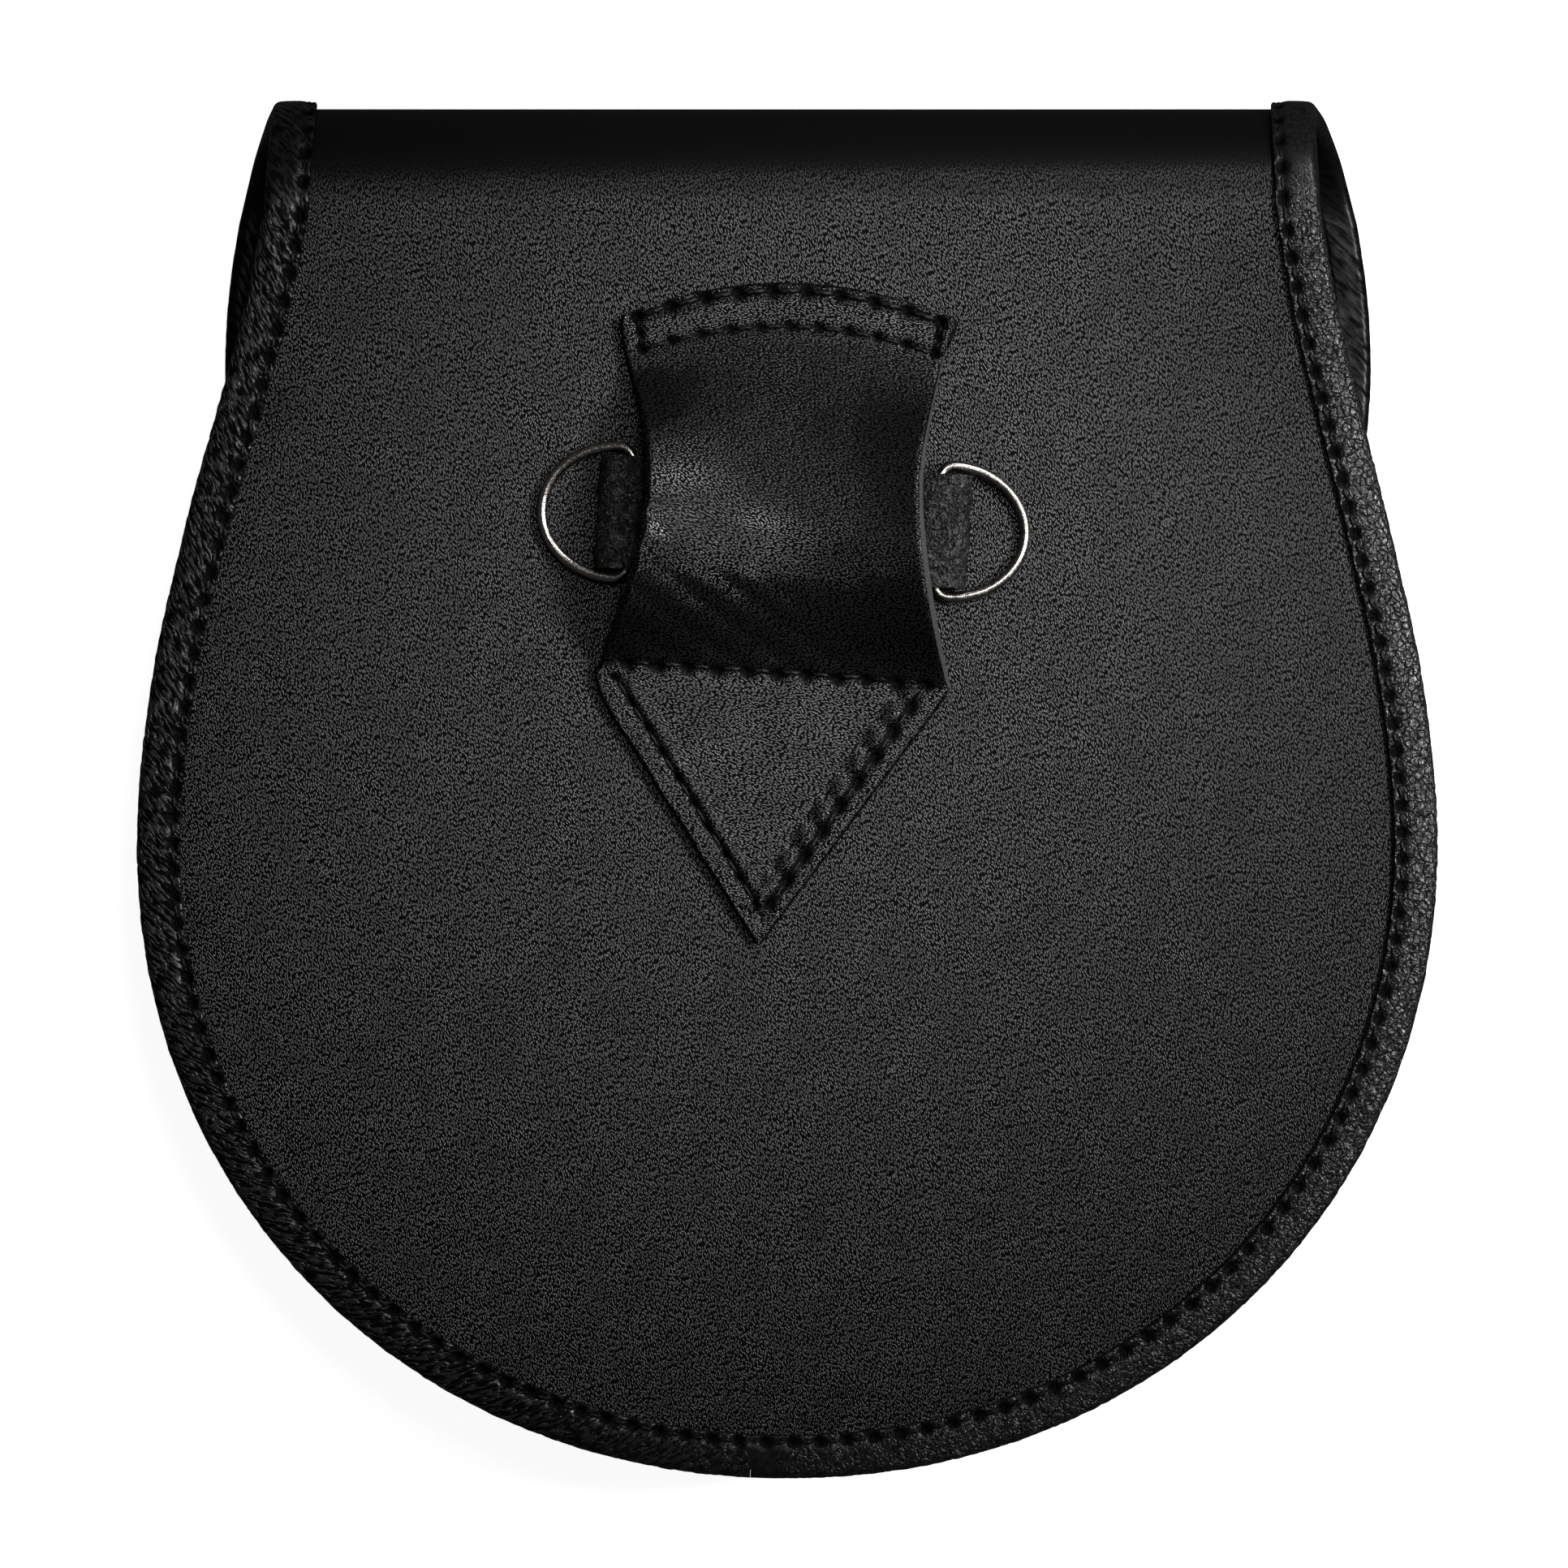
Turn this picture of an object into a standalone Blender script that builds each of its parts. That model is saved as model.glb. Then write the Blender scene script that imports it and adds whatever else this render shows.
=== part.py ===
"""A sporran pouch of black leather, lying on its front with its back upwards.

X runs across the pouch, Y from its bottom edge to its top fold, and Z up from the surface that it lies on.
Sizes are in millimetres, and each mesh is turned to metres as it is made.
A height is measured along Y from the bottom edge of the finished back.
"""

import math
from collections import namedtuple

import bmesh
import bpy
from mathutils import Vector

MM = 0.001
GAP = 0.3
WELD_DISTANCE = 1e-7
SMOOTH_ANGLE = math.radians(40)

# The whole pouch
TOTAL_HEIGHT = 221.9
BACK_FACE = 36.0

# Leather thicknesses
SHEET_THICK = 2.0
BINDING_THICK = 0.9
GUSSET_THICK = 1.2
FRONT_THICK = 1.8
LOOP_THICK = 1.8
STRAP_THICK = 1.3

# The back, the fold and the flap are one sheet, and these give its finished edge
BINDING_PROUD = BINDING_THICK + GAP
FLAP_MID = BINDING_PROUD + SHEET_THICK / 2
BACK_MID = BACK_FACE - SHEET_THICK / 2
FOLD_RADIUS = (BACK_MID - FLAP_MID) / 2
FOLD_LEVEL = (BACK_MID + FLAP_MID) / 2
FOLD_HEIGHT = TOTAL_HEIGHT - BINDING_PROUD - SHEET_THICK / 2 - FOLD_RADIUS
WIDEST_HEIGHT = 101.4
WIDEST_HALF = 104.1
BOTTOM_POWER = 2.06
FLAP_RADIUS = 94.5
FLAP_ROUND_HEIGHT = 180.0

Side = namedtuple("Side", "height half_width")
BACK_SIDE = (
    Side(101.4, 104.1),
    Side(127.0, 101.8),
    Side(153.0, 96.2),
    Side(169.0, 92.0),
    Side(188.0, 87.2),
    Side(FOLD_HEIGHT, 84.3),
)
FLAP_SIDE = (
    Side(FLAP_ROUND_HEIGHT, FLAP_RADIUS),
    Side(188.0, 94.2),
    Side(195.0, 93.5),
    Side(FOLD_HEIGHT, 92.2),
)
Turn = namedtuple("Turn", "degrees half_width shift")
FOLD_TURNS = (
    Turn(0.0, 84.3, 0.8),
    Turn(45.0, 84.0, 0.9),
    Turn(90.0, 84.8, 1.2),
    Turn(120.0, 87.2, 1.5),
    Turn(150.0, 90.0, 1.7),
    Turn(180.0, 92.2, 1.8),
)
SHIFT_START_HEIGHT = 150.0

# The back sinks a little towards its bound edge
DROOP = 2.6
DROOP_START = 0.45
DROOP_FADE_HEIGHT = 165.0

# How many rows each stretch of the sheet has, and where its columns lie
BOTTOM_ROWS = 15
SIDE_ROWS = 12
FOLD_ROWS = 14
FLAP_SIDE_ROWS = 3
FLAP_ROUND_ROWS = 14
COLUMNS = (-1.0, -0.93, -0.84, -0.7, -0.4, 0.0, 0.4, 0.7, 0.84, 0.93, 1.0)

# The binding is a folded strip round the whole edge, with its ends at the bottom
BINDING_WIDTH = 7.2
BINDING_INNER_WIDTH = 5.8
BINDING_JOINT_X = -5.8
BINDING_ROUND = 0.9
FLANGE_ROOM = GUSSET_THICK + GAP
FLANGE_ROOM_END = 192.0
FLANGE_ROOM_GONE = 201.0

# The pouch body: a gusset between the back and the front panel, open at the mouth
MOUTH_HEIGHT = 190.0
GUSSET_FLANGE_END = -0.3
GUSSET_FLANGE_ROOT = -5.0
GUSSET_WALL = -7.6
GUSSET_WAIST = -9.6
GUSSET_BEND_DROP = 0.7
GUSSET_WALL_DROP = 2.8
FRONT_FLANGE_END = -2.0
FRONT_INSET = 1.3
RIM_LEVEL = 8.0
RIM_SHARE = 0.93
PANEL_LEVEL = 6.2
PANEL_SHARE = 0.75
BULGE = 7.5
BULGE_SHARE = 0.63
BULGE_START = FLAP_RADIUS + 5.0
BULGE_REACH = 22.0

# A plain press stud holds the flap to the front panel
STUD_HEIGHT = 108.0
STUD_RADIUS = 6.5
STUD_EDGE = 0.5
STUD_SIDES = 24

# The belt loop is sewn flat at both ends and stands off the back between them, with its side edges curled up
LOOP_RISE = 11.0
LOOP_CREST = 0.58
LOOP_CURL = 4.2
LOOP_CURL_START = 1.6
LOOP_FREE_TOP = 178.0
LOOP_FREE_BOTTOM = 130.0
LOOP_FREE_ROWS = 16
LOOP_POINT_ROWS = 4
LOOP_COLUMNS = 6
LoopRow = namedtuple("LoopRow", "left_height left right_height right arch")
LOOP_TOP = LoopRow(186.4, -27.0, 185.8, 27.9, 5.0)
LOOP_SEAM = LoopRow(180.4, -26.0, 179.3, 25.2, 3.6)
LOOP_CORNERS = LoopRow(127.0, -31.0, 126.6, 26.6, 0.0)
LOOP_POINT = (-4.5, 85.1)
LoopSide = namedtuple("LoopSide", "height left right")
LOOP_SIDES = (
    LoopSide(178.0, -25.4, 24.7),
    LoopSide(169.0, -23.0, 22.7),
    LoopSide(160.0, -22.3, 21.4),
    LoopSide(152.0, -23.0, 21.7),
    LoopSide(142.0, -25.6, 23.2),
    LoopSide(130.0, -30.3, 26.0),
)
LOOP_SEAM_DROP = 3.4

# The ring strap lies under the loop, and each end folds round the bar of a ring
STRAP_CENTRE = (-0.55, 152.9)
STRAP_TURN = math.radians(-3.33)
STRAP_HALF_WIDTH = 9.0
BAR_REACH = 24.5
FOLD_ROOM = 1.3
FOLD_BEYOND = 5.1
PINCH_START = 0.6
PINCH_REACH = 6.0
FOLD_END_STEPS = 10

# The rings are bent from steel wire
WIRE_RADIUS = 0.85
WIRE_SIDES = 8
RING_HALF_HEIGHT = 10.45
RING_DEPTH = 14.2
RING_CORNER = 2.2
CORNER_STEPS = 5
BOW_STEPS = 20
BAR_LEVEL = BACK_FACE + GAP + STRAP_THICK + FOLD_ROOM
RING_DIP = math.asin((BAR_LEVEL - BACK_FACE - GAP - WIRE_RADIUS) / RING_DEPTH)

BLACK_GRAIN = {"name": "grained_leather", "colour": (0.018, 0.018, 0.018, 1), "rough": 0.42, "metal": 0.0}
BLACK_SOFT = {"name": "soft_leather", "colour": (0.014, 0.014, 0.014, 1), "rough": 0.38, "metal": 0.0}
STEEL_WIRE = {"name": "steel_wire", "colour": (0.62, 0.60, 0.57, 1), "rough": 0.22, "metal": 1.0}


def clear_scene():
    for leftover in list(bpy.data.objects):
        bpy.data.objects.remove(leftover)


def finish(kind):
    """The material of that kind, made once."""
    material = bpy.data.materials.get(kind["name"])
    if material is None:
        material = bpy.data.materials.new(kind["name"])
        material.use_nodes = True
        shader = material.node_tree.nodes["Principled BSDF"]
        shader.inputs["Base Color"].default_value = kind["colour"]
        shader.inputs["Roughness"].default_value = kind["rough"]
        shader.inputs["Metallic"].default_value = kind["metal"]
        material.diffuse_color = kind["colour"]
    return material


def add_solid(name, points, faces, kind, origin=Vector()):
    """A closed mesh object from points in millimetres, with its origin at the given point."""
    mesh = bpy.data.meshes.new(name)
    shape = bmesh.new()
    corners = [shape.verts.new((p - origin) * MM) for p in points]
    for face in faces:
        shape.faces.new([corners[i] for i in face])
    bmesh.ops.remove_doubles(shape, verts=shape.verts, dist=WELD_DISTANCE)
    bmesh.ops.recalc_face_normals(shape, faces=shape.faces)
    shape.to_mesh(mesh)
    shape.free()
    mesh.materials.append(finish(kind))
    mesh.shade_smooth()
    mesh.set_sharp_from_angle(angle=SMOOTH_ANGLE)
    item = bpy.data.objects.new(name, mesh)
    item.location = origin * MM
    bpy.context.scene.collection.objects.link(item)
    return item


def place(x, height, level):
    """A point from its height over the bottom edge and its level over the surface below."""
    return Vector((x, height - TOTAL_HEIGHT / 2, level))


def ease(value):
    """0 up to 1, level at both ends."""
    value = min(1.0, max(0.0, value))
    return value * value * (3 - 2 * value)


def read_table(rows, by, wanted, at, first_slope=None):
    """One column of a table, smoothly between its rows."""
    rows = sorted(rows, key=lambda row: getattr(row, by))
    xs = [getattr(row, by) for row in rows]
    ys = [getattr(row, wanted) for row in rows]
    at = min(xs[-1], max(xs[0], at))
    i = max(k for k in range(len(xs) - 1) if xs[k] <= at)

    def slope(k):
        if k == 0 and first_slope is not None:
            return first_slope
        low, high = max(0, k - 1), min(len(xs) - 1, k + 1)
        return (ys[high] - ys[low]) / (xs[high] - xs[low])

    step = xs[i + 1] - xs[i]
    t = (at - xs[i]) / step
    return (
        ys[i] * (1 + 2 * t) * (1 - t) ** 2
        + slope(i) * step * t * (1 - t) ** 2
        + ys[i + 1] * t * t * (3 - 2 * t)
        + slope(i + 1) * step * t * t * (t - 1)
    )


def grid_faces(rows, columns, start, across, along):
    """The quads of a grid of points that are numbered from start, with a stride for each direction."""
    return [
        (
            start + r * along + c * across,
            start + r * along + (c + 1) * across,
            start + (r + 1) * along + (c + 1) * across,
            start + (r + 1) * along + c * across,
        )
        for r in range(rows - 1)
        for c in range(columns - 1)
    ]


def add_sheet(name, outer, inner, kind):
    """A wall between two grids of points that have the same rows and columns."""
    rows, columns = len(outer), len(outer[0])
    points = [p for row in outer for p in row] + [p for row in inner for p in row]
    half = rows * columns
    faces = grid_faces(rows, columns, 0, 1, columns)
    faces += grid_faces(rows, columns, half, 1, columns)
    faces += grid_faces(2, columns, 0, 1, half)
    faces += grid_faces(2, columns, half - columns, 1, half)
    faces += grid_faces(2, rows, 0, columns, half)
    faces += grid_faces(2, rows, columns - 1, columns, half)
    return add_solid(name, points, faces, kind)


def add_sweep(name, sections, closed, kind, origin=Vector()):
    """A solid through sections that have the same number of points each, open at its ends or joined in a loop."""
    count, sides = len(sections), len(sections[0])
    points = [p for section in sections for p in section]
    faces = []
    for s in range(count if closed else count - 1):
        here, there = s * sides, (s + 1) % count * sides
        for k in range(sides):
            after = (k + 1) % sides
            faces.append((here + k, here + after, there + after, there + k))
    if not closed:
        faces.append(tuple(range(sides)))
        faces.append(tuple(range((count - 1) * sides, count * sides)))
    return add_solid(name, points, faces, kind, origin)


def thickened(line, thick):
    """A closed outline round a line of (out, level) points, half the thickness to each side."""
    left, right = [], []
    for i, here in enumerate(line):
        before, after = line[max(0, i - 1)], line[min(len(line) - 1, i + 1)]
        run = Vector((after[0] - before[0], after[1] - before[1])).normalized()
        side = Vector((-run.y, run.x)) * thick / 2
        left.append((here[0] + side.x, here[1] + side.y))
        right.append((here[0] - side.x, here[1] - side.y))
    return left + right[::-1]


# The sheet: back, fold and flap

Row = namedtuple("Row", "half_width height level normal shift")
UP = Vector((0, 0, 1))


def back_half_width(height):
    """Half the leather's width on the back, inside the binding."""
    if height >= WIDEST_HEIGHT:
        return read_table(BACK_SIDE, "height", "half_width", height, first_slope=0.0) - BINDING_PROUD
    down = (WIDEST_HEIGHT - height) / (WIDEST_HEIGHT - BINDING_PROUD)
    inside = max(0.0, 1 - down**BOTTOM_POWER)
    return (WIDEST_HALF - BINDING_PROUD) * inside ** (1 / BOTTOM_POWER)


def share_out(x, height):
    """0 at the middle of the back and 1 at the leather's edge."""
    if height >= WIDEST_HEIGHT:
        return abs(x) / back_half_width(height)
    down = (WIDEST_HEIGHT - height) / (WIDEST_HEIGHT - BINDING_PROUD)
    across = abs(x) / (WIDEST_HALF - BINDING_PROUD)
    return (down**BOTTOM_POWER + across**BOTTOM_POWER) ** (1 / BOTTOM_POWER)


def droop(x, height):
    near = max(0.0, (share_out(x, height) - DROOP_START) / (1 - DROOP_START))
    fade = 1 - ease((height - DROOP_FADE_HEIGHT) / (FOLD_HEIGHT - DROOP_FADE_HEIGHT))
    return DROOP * min(1.0, near) ** 2 * fade


def back_shift(height):
    return FOLD_TURNS[0].shift * ease((height - SHIFT_START_HEIGHT) / (FOLD_HEIGHT - SHIFT_START_HEIGHT))


def back_row(height, half_width):
    return Row(half_width, height, BACK_MID, UP, back_shift(height))


def back_rows():
    """Rows of the back from the middle of its bottom edge to the start of the fold, one of them at the joint."""
    widest = WIDEST_HALF - BINDING_PROUD
    joint_turn = math.asin((abs(BINDING_JOINT_X) / widest) ** (BOTTOM_POWER / 2))
    turns = [math.pi / 2 * i / BOTTOM_ROWS for i in range(BOTTOM_ROWS)]
    for turn in sorted([*turns, joint_turn]):
        down = math.cos(turn) ** (2 / BOTTOM_POWER)
        height = WIDEST_HEIGHT - (WIDEST_HEIGHT - BINDING_PROUD) * down
        yield back_row(height, widest * math.sin(turn) ** (2 / BOTTOM_POWER))
    for i in range(SIDE_ROWS):
        height = WIDEST_HEIGHT + (FOLD_HEIGHT - WIDEST_HEIGHT) * i / SIDE_ROWS
        yield back_row(height, back_half_width(height))


def fold_rows():
    for i in range(FOLD_ROWS):
        turn = math.pi * i / FOLD_ROWS
        normal = Vector((0, math.sin(turn), math.cos(turn)))
        yield Row(
            read_table(FOLD_TURNS, "degrees", "half_width", math.degrees(turn)) - BINDING_PROUD,
            FOLD_HEIGHT + FOLD_RADIUS * normal.y,
            FOLD_LEVEL + FOLD_RADIUS * normal.z,
            normal,
            read_table(FOLD_TURNS, "degrees", "shift", math.degrees(turn)),
        )


def flap_rows():
    """Rows of the flap from the end of the fold to the middle of its rounded end."""
    shift = FOLD_TURNS[-1].shift
    for i in range(FLAP_SIDE_ROWS):
        height = FOLD_HEIGHT + (FLAP_ROUND_HEIGHT - FOLD_HEIGHT) * i / FLAP_SIDE_ROWS
        half_width = read_table(FLAP_SIDE, "height", "half_width", height, first_slope=0.0)
        yield Row(half_width - BINDING_PROUD, height, FLAP_MID, -UP, shift)
    for i in range(FLAP_ROUND_ROWS + 1):
        turn = math.pi / 2 * i / FLAP_ROUND_ROWS
        radius = FLAP_RADIUS - BINDING_PROUD
        height = FLAP_ROUND_HEIGHT - radius * math.sin(turn)
        yield Row(radius * math.cos(turn), height, FLAP_MID, -UP, shift)


def on_sheet(row, x):
    """A point of the leather's middle layer."""
    sunk = droop(x, row.height) if row.normal == UP else 0.0
    return place(x + row.shift, row.height, row.level) - row.normal * sunk


def add_back_and_flap(rows):
    outer = [[on_sheet(r, r.half_width * c) + r.normal * SHEET_THICK / 2 for c in COLUMNS] for r in rows]
    inner = [[on_sheet(r, r.half_width * c) - r.normal * SHEET_THICK / 2 for c in COLUMNS] for r in rows]
    add_sheet("back_and_flap", outer, inner, BLACK_GRAIN)


# The edge of the sheet, which the binding and the gusset follow

Station = namedtuple("Station", "point out normal height side")


def edge_normal(row, side, along):
    """The sheet's normal at its edge, tilted where the back droops."""
    if row.normal != UP:
        return row.normal
    x = row.half_width * side
    inward = Vector((-x, max(0.0, WIDEST_HEIGHT - row.height))).normalized() * BINDING_WIDTH
    inner = on_sheet(row._replace(height=row.height + inward.y), x + inward.x)
    return (on_sheet(row, x) - inner).cross(along).normalized() * side


def edge_side(rows, side):
    """Stations on one side, from the middle of the back's bottom to the middle of the flap's end."""
    points = [on_sheet(row, row.half_width * side) for row in rows]
    mirrored = [on_sheet(rows[k], -rows[k].half_width * side) for k in (1, -2)]
    padded = [mirrored[0]] + points + [mirrored[1]]
    stations = []
    for i, row in enumerate(rows):
        along = (padded[i + 2] - padded[i]).normalized()
        normal = edge_normal(row, side, along)
        out = along.cross(normal).normalized() * side
        stations.append(Station(points[i], out, normal, row.height, side))
    return stations


def edge_loop(rows):
    """Stations round the whole edge, starting and ending at the binding's joint."""
    right, left = edge_side(rows, 1), edge_side(rows, -1)
    loop = right + left[-2:0:-1]
    start = min(range(len(loop)), key=lambda i: (loop[i].point - place(BINDING_JOINT_X, 0, BACK_MID)).length)
    return loop[start:] + loop[:start]


def binding_section(station):
    """The folded strip's outline: the outer leg, the round edge, the inner leg and the slot for the leather."""
    is_back = station.normal.z > 0 and station.height < FLANGE_ROOM_GONE
    spread = (FLANGE_ROOM_GONE - station.height) / (FLANGE_ROOM_GONE - FLANGE_ROOM_END)
    room = FLANGE_ROOM * ease(spread) if is_back else 0.0
    face, slot = SHEET_THICK / 2 + GAP, BINDING_PROUD - BINDING_THICK
    end, inner_end = BINDING_PROUD - BINDING_WIDTH, BINDING_PROUD - BINDING_INNER_WIDTH
    top, bottom = face + BINDING_THICK, -face - room - BINDING_THICK
    outline = [
        (end, face),
        (end, top - BINDING_THICK / 3),
        (end + BINDING_THICK / 2, top),
        (BINDING_PROUD - BINDING_ROUND, top),
        (BINDING_PROUD - BINDING_ROUND * 0.25, top - BINDING_ROUND * 0.4),
        (BINDING_PROUD, top - BINDING_ROUND),
        (BINDING_PROUD, bottom + BINDING_ROUND),
        (BINDING_PROUD - BINDING_ROUND * 0.25, bottom + BINDING_ROUND * 0.4),
        (BINDING_PROUD - BINDING_ROUND, bottom),
        (inner_end, bottom),
        (inner_end, bottom + BINDING_THICK),
        (slot, bottom + BINDING_THICK),
        (slot, face),
    ]
    return [station.point + station.out * o + station.normal * n for o, n in outline]


def add_binding(rows):
    """The strip starts at its joint and ends a small gap short of it."""
    loop = edge_loop(rows)
    first, last = loop[0], loop[-1]
    back = (last.point - first.point).normalized() * GAP
    closing = first._replace(point=first.point + back)
    add_sweep("edge_binding", [binding_section(s) for s in loop + [closing]], False, BLACK_SOFT)


# The pouch body


def front_level(x, height):
    """The level of the front panel's outer face: a flat rim, a shallow panel and a belly below the flap."""
    out = share_out(x, height)
    panel = ease((RIM_SHARE - out) / (RIM_SHARE - PANEL_SHARE))
    from_flap = math.hypot(x, height - FLAP_ROUND_HEIGHT) - BULGE_START
    belly = ease(from_flap / BULGE_REACH) * ease((RIM_SHARE - out) / (RIM_SHARE - BULGE_SHARE))
    return max(0.0, RIM_LEVEL - (RIM_LEVEL - PANEL_LEVEL) * panel - BULGE * belly)


def body_stations(rows):
    """The back's edge from the mouth on the left, round the bottom, to the mouth on the right."""
    body = [r for r in rows if r.normal == UP and r.height < MOUTH_HEIGHT]
    mouth = back_row(MOUTH_HEIGHT, back_half_width(MOUTH_HEIGHT))
    beyond = back_row(MOUTH_HEIGHT + 1, back_half_width(MOUTH_HEIGHT + 1))
    right = edge_side(body + [mouth, beyond], 1)[:-1]
    left = edge_side(body + [mouth, beyond], -1)[:-1]
    return left[:0:-1] + right


def gusset_section(station):
    flat_out = Vector((station.out.x, station.out.y, 0)).normalized()

    def under_back(out):
        at = station.point + flat_out * out
        height = at.y + TOTAL_HEIGHT / 2
        sunk = droop(at.x - back_shift(height), height)
        return BACK_MID - sunk - SHEET_THICK / 2 - GAP - GUSSET_THICK / 2

    top = under_back(GUSSET_FLANGE_ROOT)
    low = RIM_LEVEL + FRONT_THICK + GAP + GUSSET_THICK / 2
    middle = (top + low) / 2
    bend_out = (GUSSET_FLANGE_ROOT + GUSSET_WALL * 2) / 3
    line = [
        (GUSSET_FLANGE_END, under_back(GUSSET_FLANGE_END)),
        (GUSSET_FLANGE_ROOT, top),
        (bend_out, top - GUSSET_BEND_DROP),
        (GUSSET_WALL, top - GUSSET_WALL_DROP),
        (GUSSET_WAIST, middle),
        (GUSSET_WALL, low + GUSSET_WALL_DROP),
        (bend_out, low + GUSSET_BEND_DROP),
        (GUSSET_FLANGE_ROOT, low),
        (FRONT_FLANGE_END, low),
    ]
    base = Vector((station.point.x, station.point.y, 0))
    return [base + flat_out * out + UP * level for out, level in thickened(line, GUSSET_THICK)]


def add_gusset(rows):
    add_sweep("gusset", [gusset_section(s) for s in body_stations(rows)], False, BLACK_SOFT)


def add_front_panel(rows):
    stations = [s for s in body_stations(rows) if s.side > 0 and s.point.x > -GAP]
    outer, inner = [], []
    for station in stations:
        edge = station.point - station.out * FRONT_INSET
        height = edge.y + TOTAL_HEIGHT / 2
        shift = back_shift(height)
        half_width = max(0.0, edge.x - shift)
        xs = [half_width * c for c in COLUMNS]
        outer.append([place(x + shift, height, front_level(x, height)) for x in xs])
        inner.append([p + UP * FRONT_THICK for p in outer[-1]])
    add_sheet("front_panel", outer, inner, BLACK_GRAIN)


def add_flap_stud():
    """A plain turned disc in the gap between the flap and the front panel."""
    low, high = FLAP_MID + SHEET_THICK / 2 + GAP, PANEL_LEVEL - GAP
    centre = place(FOLD_TURNS[-1].shift, STUD_HEIGHT, 0)
    profile = (
        (STUD_RADIUS - STUD_EDGE, low),
        (STUD_RADIUS, low + STUD_EDGE),
        (STUD_RADIUS, high - STUD_EDGE),
        (STUD_RADIUS - STUD_EDGE, high),
    )
    rings = []
    for radius, level in profile:
        turns = [2 * math.pi * k / STUD_SIDES for k in range(STUD_SIDES)]
        rings.append([centre + Vector((radius * math.cos(t), radius * math.sin(t), level)) for t in turns])
    add_sweep("flap_stud", rings, False, STEEL_WIRE)


# The belt loop


def loop_row(row, lift):
    """Points across the loop's under face, from left to right."""
    shares = [c / LOOP_COLUMNS for c in range(LOOP_COLUMNS + 1)]
    curl = LOOP_CURL * ease(LOOP_CURL_START * lift / LOOP_RISE)
    return [
        place(
            row.left + (row.right - row.left) * s,
            row.left_height + (row.right_height - row.left_height) * s + row.arch * 4 * s * (1 - s),
            BACK_FACE + GAP + lift + curl * (2 * s - 1) ** 2,
        )
        for s in shares
    ]


def loop_lift(share):
    """How far the free part stands off the back: share runs from 0 at its top to 1 at its bottom."""
    rise = share / LOOP_CREST if share < LOOP_CREST else (1 - share) / (1 - LOOP_CREST)
    return LOOP_RISE * (math.sin(math.pi / 2 * rise) + ease(rise)) / 2


def loop_rows():
    rows = [loop_row(LOOP_TOP, 0.0), loop_row(LOOP_SEAM, 0.0)]
    for i in range(LOOP_FREE_ROWS + 1):
        share = i / LOOP_FREE_ROWS
        height = LOOP_FREE_TOP + (LOOP_FREE_BOTTOM - LOOP_FREE_TOP) * share
        left = read_table(LOOP_SIDES, "height", "left", height)
        right = read_table(LOOP_SIDES, "height", "right", height)
        drop = LOOP_SEAM_DROP * share
        arch = LOOP_SEAM.arch * (1 - share)
        rows.append(loop_row(LoopRow(height, left, height - drop, right, arch), loop_lift(share)))
    for i in range(LOOP_POINT_ROWS + 1):
        share = i / LOOP_POINT_ROWS
        corners, (x, height) = LOOP_CORNERS, LOOP_POINT
        row = LoopRow(
            corners.left_height + (height - corners.left_height) * share,
            corners.left + (x - corners.left) * share,
            corners.right_height + (height - corners.right_height) * share,
            corners.right + (x - corners.right) * share,
            0.0,
        )
        rows.append(loop_row(row, 0.0))
    return rows


def add_belt_loop():
    under = loop_rows()
    over = []
    for i, row in enumerate(under):
        before, after = under[max(0, i - 1)], under[min(len(under) - 1, i + 1)]
        run = (after[LOOP_COLUMNS // 2] - before[LOOP_COLUMNS // 2]).normalized()
        normal = Vector((0, run.z, -run.y))
        over.append([p + normal * LOOP_THICK for p in row])
    add_sheet("belt_loop", over, under, BLACK_GRAIN)


# The ring strap and the rings


def along_strap(along, across, level):
    """A point from its place along the strap and across it, both from its middle."""
    turn = Vector((math.cos(STRAP_TURN), math.sin(STRAP_TURN)))
    x = STRAP_CENTRE[0] + turn.x * along - turn.y * across
    return place(x, STRAP_CENTRE[1] + turn.y * along + turn.x * across, level)


def strap_line():
    """The strip's middle line as (along, level): out under the rings, round both folds and back on top."""
    low = BACK_FACE + GAP + STRAP_THICK / 2
    radius = FOLD_ROOM + STRAP_THICK / 2
    top = low + STRAP_THICK + GAP
    centre = BAR_REACH + FOLD_BEYOND - radius - STRAP_THICK / 2
    right = []
    for i in range(FOLD_END_STEPS + 1):
        turn = math.pi * i / FOLD_END_STEPS - math.pi / 2
        right.append((centre + radius * math.cos(turn), low + radius + radius * math.sin(turn)))
    for share in (0.0, 0.25, 0.5, 0.75, 1.0):
        along = BAR_REACH - PINCH_START - PINCH_REACH * share
        right.append((along, low + 2 * radius - (low + 2 * radius - top) * ease(share)))
    left = [(-along, level) for along, level in right[::-1]]
    return [(GAP / 2, low)] + right + left + [(-GAP / 2, low)]


def add_ring_strap():
    sides = thickened(strap_line(), STRAP_THICK)
    count = len(sides) // 2
    sections = []
    for i in range(count):
        one, other = sides[i], sides[2 * count - 1 - i]
        sections.append(
            [
                along_strap(one[0], -STRAP_HALF_WIDTH, one[1]),
                along_strap(one[0], STRAP_HALF_WIDTH, one[1]),
                along_strap(other[0], STRAP_HALF_WIDTH, other[1]),
                along_strap(other[0], -STRAP_HALF_WIDTH, other[1]),
            ]
        )
    add_sweep("ring_strap", sections, False, BLACK_SOFT)


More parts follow.
